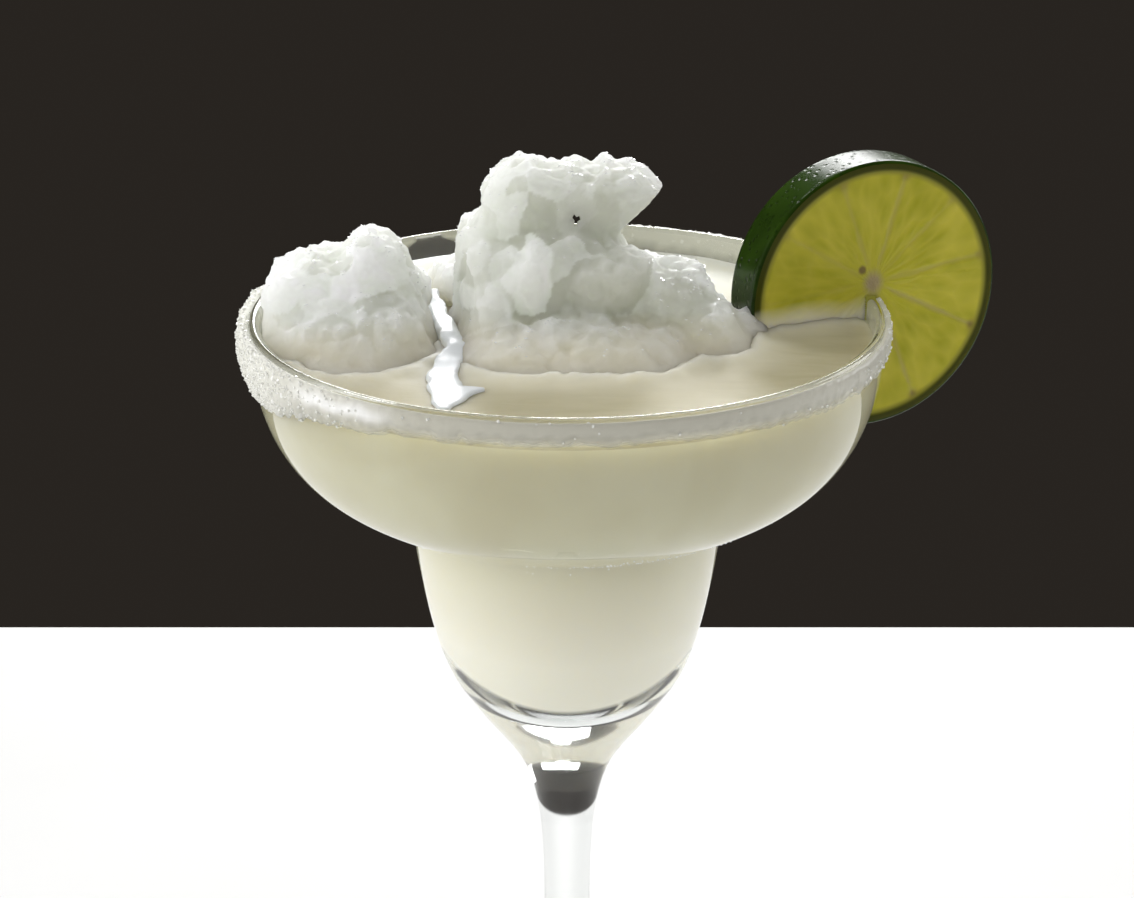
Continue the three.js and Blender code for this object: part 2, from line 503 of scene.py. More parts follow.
def add_sockets(tree: bpy.types.NodeTree, inputs: dict[str, str], outputs: dict[str, str]) -> None:
    """Gives a node tree its named inputs and outputs.

    Args:
        tree: The tree.
        inputs: The kind of each input socket, by name.
        outputs: The kind of each output socket, by name.
    """
    for label, kind in inputs.items():
        tree.interface.new_socket(name=label, in_out="INPUT", socket_type=kind)
    for label, kind in outputs.items():
        tree.interface.new_socket(name=label, in_out="OUTPUT", socket_type=kind)


def new_group(name: str, inputs: dict[str, str], outputs: dict[str, str]) -> bpy.types.NodeTree:
    """Starts a shader node group.

    Args:
        name: The group's name.
        inputs: The kind of each input socket, by name.
        outputs: The kind of each output socket, by name.

    Returns:
        The empty group.
    """
    group = bpy.data.node_groups.new(name, "ShaderNodeTree")
    add_sockets(group, inputs, outputs)
    return group


def frost_group() -> bpy.types.NodeTree:
    """Frozen grain: a fine height and a mask of the brightest crystals.

    Returns:
        The group, with Place and Grain in, Height and Crystals out.
    """
    group = new_group(
        "frozen_grain",
        {"Place": "NodeSocketVector", "Grain": "NodeSocketFloat"},
        {"Height": "NodeSocketFloat", "Crystals": "NodeSocketFloat"},
    )
    given = add_node(group, "NodeGroupInput")
    cells = add_node(group, "ShaderNodeTexVoronoi",
                     {"Vector": given.outputs["Place"], "Scale": given.outputs["Grain"]})
    drift = add_node(group, "ShaderNodeTexNoise",
                     {"Vector": given.outputs["Place"], "Scale": 420.0, "Detail": 3.0})
    height = worked_out(group, Operation.SUM, cells.outputs["Distance"], drift.outputs["Fac"])
    spark = add_node(group, "ShaderNodeSeparateColor", {"Color": cells.outputs["Color"]})
    bright = ranged(group, spark.outputs["Red"], 0.9, 1.0)
    add_node(group, "NodeGroupOutput", {"Height": height, "Crystals": bright})
    return group


def cloud_group() -> bpy.types.NodeTree:
    """Cloudiness: a soft, large-scale unevenness from 0 to 1.

    Returns:
        The group, with Place and Scale in, Cloud out.
    """
    group = new_group(
        "cloudiness",
        {"Place": "NodeSocketVector", "Scale": "NodeSocketFloat"},
        {"Cloud": "NodeSocketFloat"},
    )
    given = add_node(group, "NodeGroupInput")
    soft = add_node(group, "ShaderNodeTexNoise",
                    {"Vector": given.outputs["Place"], "Scale": given.outputs["Scale"],
                     "Detail": 3.0, "Roughness": 0.45, "Distortion": 0.6})
    add_node(group, "NodeGroupOutput", {"Cloud": ranged(group, soft.outputs["Fac"], 0.3, 0.7)})
    return group


FROST = frost_group()
CLOUD = cloud_group()


def placed(tree: bpy.types.NodeTree, group: bpy.types.NodeTree, **inputs: float) -> bpy.types.Node:
    """Places a group on a sheet, reading the object's own place.

    Args:
        tree: The sheet.
        group: The group.
        inputs: Its other inputs.

    Returns:
        The group's node.
    """
    node = add_node(tree, "ShaderNodeGroup", node_tree=group)
    tree.links.new(object_place(tree), node.inputs["Place"])
    for name, value in inputs.items():
        node.inputs[name].default_value = value
    return node


def frost_of(tree: bpy.types.NodeTree, grain: float) -> bpy.types.Node:
    """Places the frozen grain on a sheet, with a number of crystals to the metre."""
    return placed(tree, FROST, Grain=grain)


def cloud_of(tree: bpy.types.NodeTree, scale: float) -> bpy.types.NodeSocket:
    """Places the cloudiness on a sheet, with a number of clouds to the metre."""
    return placed(tree, CLOUD, Scale=scale).outputs["Cloud"]


def bumped(tree: bpy.types.NodeTree, height: bpy.types.NodeSocket, strength: float,
           depth: float) -> bpy.types.NodeSocket:
    """A normal roughened by a height.

    Args:
        tree: The sheet.
        height: The height.
        strength: How much of it shows, from 0 to 1.
        depth: The height of one unit, in millimetres.

    Returns:
        The normal's socket.
    """
    inputs = {"Height": height, "Strength": strength, "Distance": depth * MM}
    return add_node(tree, "ShaderNodeBump", inputs).outputs["Normal"]


class Sheet:
    """A new material and its node sheet."""

    def __init__(self, name: str) -> None:
        """Starts an empty sheet.

        Args:
            name: The material's name.
        """
        self.material = bpy.data.materials.new(name)
        self.material.use_nodes = True
        self.tree = self.material.node_tree
        self.tree.nodes.clear()

    def principled(self, inputs: dict[str, SocketValue]) -> bpy.types.Node:
        """Adds a Principled shader with these inputs."""
        return add_node(self.tree, "ShaderNodeBsdfPrincipled", inputs)

    def finish(self, shader: bpy.types.NodeSocket) -> bpy.types.Material:
        """Sends a shader to the surface and gives the material."""
        add_node(self.tree, "ShaderNodeOutputMaterial", {"Surface": shader})
        return self.material


# Finishes


@dataclass(frozen=True)
class GlassFinish:
    """Clear, polished glass."""

    tint: Colour = (0.975, 0.99, 0.985)
    shade: Colour = (0.95, 0.965, 0.96)  # what is left of lamplight that passes through
    bend: float = 1.56
    polish: float = 0.01  # how rough the bowl is
    haze: float = 0.07  # how rough the thick glass below the drink is
    haze_from: float = 122.0
    haze_to: float = 106.0
    smudge: Point = (0.6, 1.4)  # by how much roughness differs from place to place

    def material(self) -> bpy.types.Material:
        """The glass's material, which lets lamplight through to what it holds.

        Returns:
            The material.
        """
        sheet = Sheet("clear_glass")
        tree = sheet.tree
        height = place_along(tree, "Z")
        hazy = ranged(tree, height, self.haze_from * MM, self.haze_to * MM, self.polish, self.haze)
        smudge = ranged(tree, cloud_of(tree, 60.0), 0.0, 1.0, *self.smudge)
        glass = sheet.principled({
            "Base Color": opaque(self.tint),
            "Roughness": worked_out(tree, Operation.PRODUCT, hazy, smudge),
            "IOR": self.bend,
            "Transmission Weight": 1.0,
        })
        clear = add_node(tree, "ShaderNodeBsdfTransparent", {"Color": opaque(self.shade)})
        path = add_node(tree, "ShaderNodeLightPath").outputs
        lit = worked_out(tree, Operation.LARGER, path["Is Shadow Ray"], path["Is Diffuse Ray"])
        return sheet.finish(blended(tree, lit, glass, clear))


@dataclass(frozen=True)
class DrinkFinish:
    """The cloudy drink, seen through the glass or from above."""

    pale: Colour = (0.625, 0.595, 0.435)
    deep: Colour = (0.555, 0.515, 0.35)
    # Painted light: the lower cup is paler, as if lit by the floor below
    low: Colour = (0.885, 0.845, 0.72)  # in the lower cup
    open_pale: Colour = (0.475, 0.435, 0.295)
    open_deep: Colour = (0.42, 0.38, 0.245)
    slush: Colour = (0.62, 0.62, 0.545)  # at the back
    foot: Colour = (0.76, 0.72, 0.57)  # where the ice melts into it; paler also as painted light that lifts the shade by the ice and the lime
    # Where the painted light of the lower cup starts and where it is full
    painted_light_from: float = 145.5
    painted_light_to: float = 117.0
    depth: float = 9.0  # how far light spreads in it
    spread: Colour = (1.0, 0.96, 0.84)
    slush_from: float = 8.0  # how far back the slush starts
    slush_to: float = 34.0
    streak_stretch: Colour = (1.0, 4.5, 1.0)
    streaks: float = 70.0  # to the metre
    grains: float = 900.0  # to the metre
    mirror: Colour = (0.97, 0.98, 0.98)
    mirror_slant: float = 0.49  # how much it slants where glass over it starts to mirror
    mirror_edge: float = 0.02
    mirror_from: float = 128.0
    mirror_to: float = 120.0

    def spreading(self) -> dict[str, SocketValue]:
        """The inputs that spread light inside the drink.

        Returns:
            The value of each input.
        """
        return {
            "Subsurface Weight": 1.0,
            "Subsurface Radius": self.spread,
            "Subsurface Scale": self.depth * MM,
        }

    def colour(self, tree: bpy.types.NodeTree) -> bpy.types.NodeSocket:
        """The drink's colour, painted paler down in the lower cup to stand in for light from the floor.

        Args:
            tree: The sheet.

        Returns:
            The colour's socket.
        """
        # Painted light: paler from the step down, standing in for light from the floor.
        down = ranged(tree, place_along(tree, "Z"), self.painted_light_from * MM, self.painted_light_to * MM)
        cloudy = mixed(tree, cloud_of(tree, 45.0), opaque(self.deep), opaque(self.pale))
        return mixed(tree, down, cloudy, opaque(self.low))

    def open_material(self) -> bpy.types.Material:
        """The material of the open surface.

        Returns:
            The material.
        """
        sheet = Sheet("drink_surface")
        tree = sheet.tree
        grain = frost_of(tree, self.grains)
        streaks = add_node(tree, "ShaderNodeMapping",
                           {"Vector": object_place(tree), "Scale": self.streak_stretch})
        wavy = {"Vector": streaks.outputs[0], "Scale": self.streaks, "Detail": 3.0, "Distortion": 0.8}
        waves = add_node(tree, "ShaderNodeTexNoise", wavy)
        share = ranged(tree, waves.outputs["Fac"], 0.3, 0.7)
        streaked = mixed(tree, share, opaque(self.open_deep), opaque(self.open_pale))
        back = ranged(tree, place_along(tree, "Y"), self.slush_from * MM, self.slush_to * MM)
        colour = mixed(tree, back, streaked, opaque(self.slush))
        shader = sheet.principled({
            "Base Color": mixed(tree, read_attribute(tree, "melt_and_painted_light"), colour, opaque(self.foot)),
            "Roughness": 0.45,
            "Specular IOR Level": 0.15,
            **self.spreading(),
            "Normal": bumped(tree, grain.outputs["Height"], 0.25, 0.05),
        })
        return sheet.finish(shader.outputs[0])

    def glass_material(self) -> bpy.types.Material:
        """The material of the faces against the glass.

        Returns:
            The material.
        """
        sheet = Sheet("drink_behind_glass")
        tree = sheet.tree
        body = sheet.principled({
            "Base Color": self.colour(tree),
            "Roughness": 0.6,
            "Specular IOR Level": 0.0,
            **self.spreading(),
        })
        mirror = add_node(tree, "ShaderNodeBsdfGlossy", {"Color": opaque(self.mirror), "Roughness": 0.1})
        slant = add_node(tree, "ShaderNodeLayerWeight", {"Blend": 0.5})
        low = self.mirror_slant - self.mirror_edge
        high = self.mirror_slant + self.mirror_edge
        slanted = ranged(tree, slant.outputs["Facing"], low, high)
        down = ranged(tree, place_along(tree, "Z"), self.mirror_from * MM, self.mirror_to * MM)
        share = worked_out(tree, Operation.PRODUCT, slanted, down)
        return sheet.finish(blended(tree, share, body, mirror))


@dataclass(frozen=True)
class IceFinish:
    """Frosty ice: whiter where the stored tone is high, clearer where it is low, creamy near the drink. The
    tone holds painted light too: it is higher where the ice is thin, standing in for light from behind.
    """

    white: Colour = (0.96, 0.98, 0.955)
    clear: Colour = (0.64, 0.65, 0.58)
    cream: Colour = (0.76, 0.71, 0.55)
    depth: float = 16.0  # how far light spreads in it
    creamy: float = 0.9  # how much of the cream shows at the foot
    grains: float = 1100.0  # to the metre
    rough: Point = (0.4, 0.65)
    through: float = 0.05  # the share of light that passes on inside
    glassy: float = 0.05  # the share that is clear
    spread: Colour = (0.97, 1.0, 0.95)

    def material(self) -> bpy.types.Material:
        """The ice's material.

        Returns:
            The material.
        """
        sheet = Sheet("wet_ice")
        tree = sheet.tree
        # The stored tone includes painted light from behind where the ice is thin.
        colour = mixed(tree, read_attribute(tree, "tone"), opaque(self.clear), opaque(self.white))
        low = ranged(tree, read_attribute(tree, "cream"), 0.0, 1.0, 0.0, self.creamy)
        colour = mixed(tree, low, colour, opaque(self.cream))
        grain = frost_of(tree, self.grains)
        shader = sheet.principled({
            "Base Color": colour,
            "Roughness": ranged(tree, cloud_of(tree, 180.0), 0.0, 1.0, *self.rough),
            "IOR": 1.31,
            "Transmission Weight": self.glassy,
            "Subsurface Weight": 0.9,
            "Subsurface Radius": self.spread,
            "Subsurface Scale": self.depth * MM,
            "Subsurface Anisotropy": 0.6,
            "Normal": bumped(tree, grain.outputs["Height"], 0.4, 0.12),
        })
        inner = add_node(tree, "ShaderNodeBsdfTranslucent", {"Color": colour})
        return sheet.finish(blended(tree, self.through, shader, inner))


@dataclass(frozen=True)
class PaintedMeltHighlight:
    """Wet slush, painted pale to stand in for the light from behind reflected in the melt."""

    # Painted highlight: this pale colour stands in for the light from behind reflected in the wet melt.
    bright: Colour = (0.74, 0.77, 0.79)
    dim: float = 0.88  # what is left of that where it is dullest

    def material(self) -> bpy.types.Material:
        """The melt's material, pale as a painted highlight.

        Returns:
            The material.
        """
        sheet = Sheet("melt")
        tree = sheet.tree
        cloud = cloud_of(tree, 300.0)
        shade = tuple(self.dim * c for c in self.bright)
        shader = sheet.principled({
            "Base Color": mixed(tree, cloud, opaque(shade), opaque(self.bright)),
            "Roughness": 0.3,
            "IOR": 1.33,
            "Subsurface Weight": 0.6,
            "Subsurface Radius": (1.0, 1.0, 1.0),
            "Subsurface Scale": 1.5 * MM,
            "Coat Weight": 0.3,
            "Coat Roughness": 0.15,
        })
        return sheet.finish(shader.outputs[0])


@dataclass(frozen=True)
class GlintFinish:
    """White grains under a clear coat: salt, and frozen bits whose white also stands in for glints."""

    white: Colour = (0.96, 0.97, 0.96)
    dim: float = 0.92  # what is left of that where they are dullest

    def material(self, name: str) -> bpy.types.Material:
        """The grains' material.

        Args:
            name: The material's name.

        Returns:
            The material.
        """
        sheet = Sheet(name)
        tree = sheet.tree
        shade = tuple(self.dim * c for c in self.white)
        colour = mixed(tree, cloud_of(tree, 400.0), opaque(shade), opaque(self.white))
        body = sheet.principled({"Base Color": colour, "Roughness": 0.15, "Coat Weight": 1.0})
        return sheet.finish(body.outputs[0])


@dataclass(frozen=True)
class SaltFinish:
    """A crust of damp salt, with painted glints and a painted highlight."""

    bright: Colour = (0.76, 0.755, 0.69)
    damp: Colour = (0.55, 0.535, 0.455)
    glint: Colour = (0.97, 0.97, 0.95)

    def material(self) -> bpy.types.Material:
        """The crust's material, damp and thin where the stored numbers say so, with painted glints and a
        painted highlight on its front left.

        Returns:
            The material.
        """
        sheet = Sheet("damp_salt")
        tree = sheet.tree
        grain = frost_of(tree, 1500.0)
        dry = ranged(tree, read_attribute(tree, "dry"), 0.3, 1.0)
        patches = mixed(tree, dry, opaque(self.damp), opaque(self.bright))
        sparks = worked_out(tree, Operation.PRODUCT, dry, grain.outputs["Crystals"])
        # Painted light: the glints of the brightest crystals and the highlight stored as wet both take the
        # glint colour.
        bright = worked_out(tree, Operation.LARGER, sparks, read_attribute(tree, "wet"))
        shader = sheet.principled({
            "Base Color": mixed(tree, bright, patches, opaque(self.glint)),
            "Roughness": ranged(tree, dry, 0.0, 1.0, 0.22, 0.6),
            "Normal": bumped(tree, grain.outputs["Height"], 0.3, 0.08),
        })
        film = add_node(tree, "ShaderNodeBsdfTransparent")
        thin = ranged(tree, read_attribute(tree, "cover"), 0.0, 1.0, 0.85, 0.0)
        return sheet.finish(blended(tree, thin, shader, film))


@dataclass(frozen=True)
class RindFinish:
    """Waxy green peel with oil pores."""

    green: Colour = (0.021, 0.049, 0.003)
    dark: Colour = (0.008, 0.02, 0.0015)

    def material(self) -> bpy.types.Material:
        """The peel's material.

        Returns:
            The material.
        """
        sheet = Sheet("lime_peel")
        tree = sheet.tree
        pores = add_node(tree, "ShaderNodeTexVoronoi", {"Vector": object_place(tree), "Scale": 720.0})
        pit = ranged(tree, pores.outputs["Distance"], 0.0, 0.35)
        patch = mixed(tree, cloud_of(tree, 120.0), opaque(self.dark), opaque(self.green))
        shader = sheet.principled({
            "Base Color": mixed(tree, pit, opaque(self.dark), patch),
            "Roughness": 0.24,
            "Specular IOR Level": 0.18,
            "Normal": bumped(tree, pit, 0.6, 0.15),
        })
        return sheet.finish(shader.outputs[0])


@dataclass(frozen=True)
class FleshFinish:
    """Lime flesh, with colours that follow the numbers stored on the wheel's faces."""

    juice: Colour = (0.30, 0.305, 0.005)
    pale: Colour = (0.65, 0.575, 0.085)
    membrane: Colour = (0.46, 0.41, 0.11)
    pith: Colour = (0.30, 0.29, 0.04)
    peel: Colour = (0.046, 0.05, 0.002)
    core: Colour = (0.38, 0.31, 0.17)
    brown: Colour = (0.20, 0.15, 0.05)
    # Slush that clings to the lime, painted pale also to lift the shade in the crease by the drink.
    slush: Colour = (0.74, 0.70, 0.53)

    def material(self) -> bpy.types.Material:
        """The flesh's material, out to the cut edge of the peel.

        Returns:
            The material.
        """
        sheet = Sheet("lime_flesh")
        tree = sheet.tree
        cells = read_attribute(tree, "vesicle")
        colour = mixed(tree, cells, opaque(self.juice), opaque(self.pale))
        colour = mixed(tree, read_attribute(tree, "membrane"), colour, opaque(self.membrane))
        colour = mixed(tree, read_attribute(tree, "pith"), colour, opaque(self.pith))
        colour = mixed(tree, read_attribute(tree, "peel"), colour, opaque(self.peel))
        colour = mixed(tree, read_attribute(tree, "core"), colour, opaque(self.core))
        colour = mixed(tree, read_attribute(tree, "brown"), colour, opaque(self.brown))
        colour = mixed(tree, read_attribute(tree, "slush"), colour, opaque(self.slush))
        shader = sheet.principled({
            "Base Color": colour,
            "Roughness": 0.28,
            "IOR": 1.36,
            "Specular IOR Level": 0.25,
            "Subsurface Weight": 0.85,
            "Subsurface Radius": (1.0, 0.95, 0.3),
            "Subsurface Scale": 4.0 * MM,
            "Normal": bumped(tree, cells, 0.25, 0.15),
        })
        return sheet.finish(shader.outputs[0])


@dataclass(frozen=True)
class FloorFinish:
    """The plain pale floor."""

    pale: Colour = (0.74, 0.74, 0.735)
    dim: float = 0.96  # what is left of that where it is dullest

    def material(self) -> bpy.types.Material:
        """The floor's material.

        Returns:
            The material.
        """
        sheet = Sheet("pale_floor")
        tree = sheet.tree
        shade = tuple(self.dim * c for c in self.pale)
        colour = mixed(tree, cloud_of(tree, 8.0), opaque(shade), opaque(self.pale))
        shader = sheet.principled({"Base Color": colour, "Roughness": 0.6})
        return sheet.finish(shader.outputs[0])


# The glass


@dataclass
class GlassVessel:
    """The stepped stem glass: a wide bowl, a narrow lower cup, a solid flare, a stem and a foot."""

    height: float = 175.0
    rim_radius: float = 55.5
    wall: float = 1.9
    step_radius: float = 28.0
    step_depth: float = 36.5
    cup_foot_radius: float = 18.2
    cup_foot_depth: float = 71.7
    cup_floor_depth: float = 71.3
    stem_radius: float = 4.2
    stem_top_depth: float = 114.8
    stem_foot_height: float = 22.0
    foot_radius: float = 38.0
    foot_edge: float = 2.6
    drink_depth: float = 5.0  # how far below the rim the drink stands
    # How far the ends of each curve pull on it, inwards or outwards and up or down
    bowl_pull: float = 0.77  # as a share of the step's depth
    bowl_push: Point = (11.8, 4.4)
    cup_pull: Point = (3.6, 28.4)
    cup_push: Point = (2.2, 3.35)
    flare_pull: Point = (8.85, 13.6)
    flare_push: float = 32.0
    foot_pull: float = 6.5
    foot_push: Point = (12.0, 5.4)
    inner_pull: Point = (3.0, 26.0)
    inner_push: float = 11.5
    # The frost under the bowl, whose white specks also stand in for glints: its height above the step, its
    # reach up and down, and its specks
    frost_height: float = 2.2
    frost_reach: float = 2.6
    frost_density: float = 1.8
    frost_size: float = 0.36
    steps: int = 192

    def bowl(self, steps: int = 48) -> list[Point]:
        """The bowl's outer line, from the rim down to the step.

        Args:
            steps: How many stretches the line is cut into.

        Returns:
            The line's points.
        """
        step_height = self.height - self.step_depth
        return bezier(
            (self.rim_radius, self.height - self.wall / 2),
            (self.rim_radius, self.height - self.bowl_pull * self.step_depth),
            (self.step_radius + self.bowl_push[0], step_height + self.bowl_push[1]),
            (self.step_radius, step_height),
            steps,
        )

    def cup(self, steps: int = 32) -> list[Point]:
        """The lower cup's outer line, from the step down to the flare.

        Args:
            steps: How many stretches the line is cut into.

        Returns:
            The line's points.
        """
        step_height = self.height - self.step_depth
        foot_height = self.height - self.cup_foot_depth
        return bezier(
            (self.step_radius, step_height),
            (self.step_radius - self.cup_pull[0], step_height - self.cup_pull[1]),
            (self.cup_foot_radius + self.cup_push[0], foot_height + self.cup_push[1]),
            (self.cup_foot_radius, foot_height),
            steps,
        )

    def flare(self) -> list[Point]:
        """The flare's outer line, from the cup down to the stem.

        Returns:
            The line's points.
        """
        foot_height = self.height - self.cup_foot_depth
        stem_top = self.height - self.stem_top_depth
        return bezier(
            (self.cup_foot_radius, foot_height),
            (self.cup_foot_radius - self.flare_pull[0], foot_height - self.flare_pull[1]),
            (self.stem_radius, stem_top + self.flare_push),
            (self.stem_radius, stem_top),
            32,
        )

    def foot(self) -> list[Point]:
        """The outer line from the stem over the foot to its underside.

        Returns:
            The line's points.
        """
        edge = self.foot_edge / 2
        spread = bezier(
            (self.stem_radius, self.stem_foot_height),
            (self.stem_radius, self.foot_pull),
            self.foot_push,
            (self.foot_radius - edge, self.foot_edge),
            32,
        )
        return spread + arc((self.foot_radius - edge, edge), edge, 90.0, -90.0, 10)[1:]

    def inside(self, inset: float = 0.0) -> list[Point]:
        """The inner line from the rim down to the cup's floor.

        Args:
            inset: How far it is moved into the space inside, or into the wall if it is below 0.

        Returns:
            The line's points.
        """
        bowl = beside(self.bowl(), self.wall + inset)
        floor = self.height - self.cup_floor_depth + inset
        top_radius = self.step_radius - self.wall - 0.1 - inset
        top_height = self.height - self.step_depth + 0.2
        cup = bezier(
            (top_radius, top_height),
            (top_radius - self.inner_pull[0], top_height - self.inner_pull[1]),
            (self.inner_push, floor),
            (0.0, floor),
            40,
        )
        return bowl[:-1] + cup

    def wall_radius(self, depth: float) -> float:
        """The bowl's outer radius at a depth below the rim."""
        line = np.array(self.bowl(200))
        return float(np.interp(-depth, line[::-1, 1] - self.height, line[::-1, 0]))

    def build(self) -> list[bpy.types.Object]:
        """Makes and dresses the glass and the frost on it.

        Returns:
            The finished pieces.
        """
        half = self.wall / 2
        lip = arc((self.rim_radius - half, self.height - half), half, 0.0, 180.0, 12)
        down = self.bowl() + self.cup()[1:] + self.flare()[1:] + self.foot() + [(0.0, 0.0)]
        outline = down[::-1] + lip[1:-1] + self.inside()
        piece = as_object("stem_glass", turned(outline, self.steps), GlassFinish().material())
        specks = self.frost(piece)
        return [declare(piece, Slot.GLASS, Node.GLASS), declare(specks, Slot.GLASS)]

    def frost(self, piece: bpy.types.Object) -> bpy.types.Object:
        """Settles fine frost under the bowl, most of it to the front right, as white specks that also stand
        in for glints there.

        Args:
            piece: The glass.

        Returns:
            The specks of frost.
        """
        corners = corners_of(piece)
        above = corners[:, 2] - self.height + self.step_depth
        outside = np.sum(normals_of(piece)[:, :2] * corners[:, :2], axis=1) > 0.0
        side = np.clip(0.3 + corners[:, 0] / self.rim_radius, 0.08, 1.0)
        band = np.exp(-(((above - self.frost_height) / self.frost_reach) ** 2)) * (above > -1.0)
        patches = np.clip(0.5 + noise_at(corners, 9.0), 0.0, 1.0)
        set_attribute(piece, "frost", band * side * outside * patches)
        density = self.frost_density
        specks = Scatter("frost_specks_and_glints", Bit.BEAD, "frost", density, self.frost_size, spread=0.6, seed=23)
        return specks.over(piece, GlintFinish().material("frost"))


# The drink


class DrinkFace(Enum):
    """The drink's two kinds of face, by material number."""

    OPEN = 0
    AGAINST_GLASS = 1


@dataclass
class Drink:
    """The frozen drink, which fills the glass to its level and stands a little higher by the lime."""

    glass: GlassVessel
    shore: np.ndarray  # where the ice and the lime stand out of it
    into_wall: float = 0.15
    rings: int = 90
    swell: float = 1.1  # the rise by the lime
    swell_place: Point = (40.0, 1.0)
    swell_reach: Point = (13.0, 9.0)
    creep: float = 0.5  # how far it climbs the wall
    creep_reach: float = 1.2
    fillet: float = 1.5  # how far it climbs the ice
    fillet_reach: float = 2.2
    unevenness: float = 0.4  # of that climb
    ripple: float = 0.3
    ripple_length: float = 14.0
    melt_reach: float = 5.5  # how far from the ice and the lime its colour is melt and painted light

    def from_shore(self, places: np.ndarray) -> np.ndarray:
        """How far each place is from the nearest ice or lime.

        Args:
            places: Where, across the glass.

        Returns:
            The distance at each place.
        """
        tree = kdtree.KDTree(len(self.shore))
        for index, (x, y) in enumerate(self.shore.tolist()):
            tree.insert((x, y, 0.0), index)
        tree.balance()
        return np.array([tree.find((x, y, 0.0))[2] for x, y in places[:, :2].tolist()])

    def surface(self, places: np.ndarray, edge: float) -> np.ndarray:
        """The open surface's height above the level.

        Args:
            places: Where, across the glass.
            edge: The radius at which it meets the wall.

        Returns:
            The height at each place.
        """
        radius = np.hypot(places[:, 0], places[:, 1])
        away = (places[:, :2] - np.array(self.swell_place)) / np.array(self.swell_reach)
        rise = self.swell * np.exp(-np.sum(away**2, axis=1))
        climb = self.creep * np.exp((radius - edge) / self.creep_reach)
        inside = np.clip((edge - radius) / 2.0, 0.0, 1.0)
        ripples = self.ripple * noise_at(places, self.ripple_length) + 0.1 * noise_at(places, 5.0, 3.0)
        uneven = 1.0 + self.unevenness * noise_at(places, 3.5, 6.0)
        fillet = self.fillet * uneven * np.exp(-self.from_shore(places) / self.fillet_reach)
        return rise + climb + ripples + inside * fillet

    def build(self) -> bpy.types.Object:
        """Makes and dresses the drink.

        Returns:
            The finished piece.
        """
        depth = self.glass.drink_depth
        level = self.glass.height - depth
        side = [p for p in self.glass.inside(-self.into_wall) if p[1] < level]
        edge = self.glass.wall_radius(depth) - self.glass.wall + self.into_wall
        across = [(edge * i / self.rings, level) for i in range(self.rings + 1)]
        data = turned((across + side)[::-1], self.glass.steps)
        top = np.flatnonzero(data.corners[:, 2] > level - 1e-6)
        flat = data.corners[top].copy()
        data.corners[top, 2] += self.surface(flat, edge)
        side_corner = data.corners[:, 2] < level - 1.0
        data.finishes = [
            DrinkFace.AGAINST_GLASS.value if side_corner[list(face)].any() else DrinkFace.OPEN.value
            for face in data.faces
        ]
        finish = DrinkFinish()
        piece = as_object("frozen_drink", data, finish.open_material(), finish.glass_material())
        # Paler by the ice and the lime: melt, and painted light lifting the shade in the creases.
        away = self.from_shore(data.corners)
        wide = np.exp(-((away / self.melt_reach) ** 2))
        close = np.exp(-away / self.fillet_reach)
        set_attribute(piece, "melt_and_painted_light", 0.6 * wide + 0.4 * close)
        return declare(piece, Slot.DRINK, Node.DRINK)


# The ice


@dataclass(frozen=True)
class Lump:
    """A lump of ice: its centre across the glass and above the rim, its half sizes and its whiteness."""

    x: float
    y: float
    z: float
    half_x: float
    half_y: float
    half_z: float
    tone: float = 0.7
    lean: float = 0.0  # degrees, to the right as seen from the front
    chips: int = 9
    chip_depth: Point = (0.72, 0.95)  # the least and most of the half size that a chip leaves

    def shape(self, seed: int, rim: float) -> MeshData:
        """The lump as a ball with chipped sides.

        Args:
            seed: Decides how it is chipped.
            rim: The rim's height.

        Returns:
            Its mesh.
        """
        rng = np.random.default_rng(seed)
        ball = bmesh.new()
        bmesh.ops.create_icosphere(ball, subdivisions=4, radius=1.0)
        corners = np.array([v.co[:] for v in ball.verts])
        faces = [tuple(v.index for v in f.verts) for f in ball.faces]
        ball.free()
        ways = rng.normal(size=(self.chips, 3))
        ways /= np.linalg.norm(ways, axis=1)[:, None]
        reach = corners @ ways.T
        left = rng.uniform(*self.chip_depth, self.chips)
        aside = 0.05  # a corner that is farther round than this isn't chipped
        cut = np.where(reach > aside, left / np.maximum(reach, aside), 9.0).min(axis=1)
        corners *= np.minimum(1.0, cut)[:, None]
        corners *= np.array([self.half_x, self.half_y, self.half_z])
        lean = np.array(Matrix.Rotation(math.radians(self.lean), 3, "Y"))
        corners = corners @ lean.T + np.array([self.x, self.y, rim + self.z])
        return MeshData(corners, faces)


@dataclass(frozen=True)
class Slab:
    """An upright piece of ice with an outline of its own, rounded off to the front and the back."""

    outline: tuple[Point, ...]  # across the glass and above the rim, clockwise from the front
    y: float
    half_y: float
    tone: float = 0.7

    def shape(self, seed: int, rim: float) -> MeshData:
        """The slab's mesh.

        Args:
            seed: Decides how far its front bulges.
            rim: The rim's height.

        Returns:
            Its mesh.
        """
        bulge = 2.2 + 0.2 * (seed % 4)
        flat = np.array(self.outline)
        middle = flat.mean(axis=0)
        around = len(flat)
        layers = (-0.97, -0.85, -0.6, -0.3, 0.0, 0.3, 0.6, 0.85, 0.97)
        rings = []
        for layer in layers:
            share = (1.0 - abs(layer) ** bulge) ** (1.0 / bulge)
            ring = middle + share * (flat - middle)
            back = np.full(around, self.y + layer * self.half_y)
            rings.append(np.stack([ring[:, 0], back, ring[:, 1] + rim], axis=1))
        faces: list[tuple[int, ...]] = []
        for layer in range(len(layers) - 1):
            low = layer * around
            for i in range(around):
                j = (i + 1) % around
                faces.append((low + j, low + i, low + around + i, low + around + j))
        faces.append(tuple(range(around)))
        faces.append(tuple(range((len(layers) - 1) * around, len(layers) * around))[::-1])
        return MeshData(np.vstack(rings), faces)


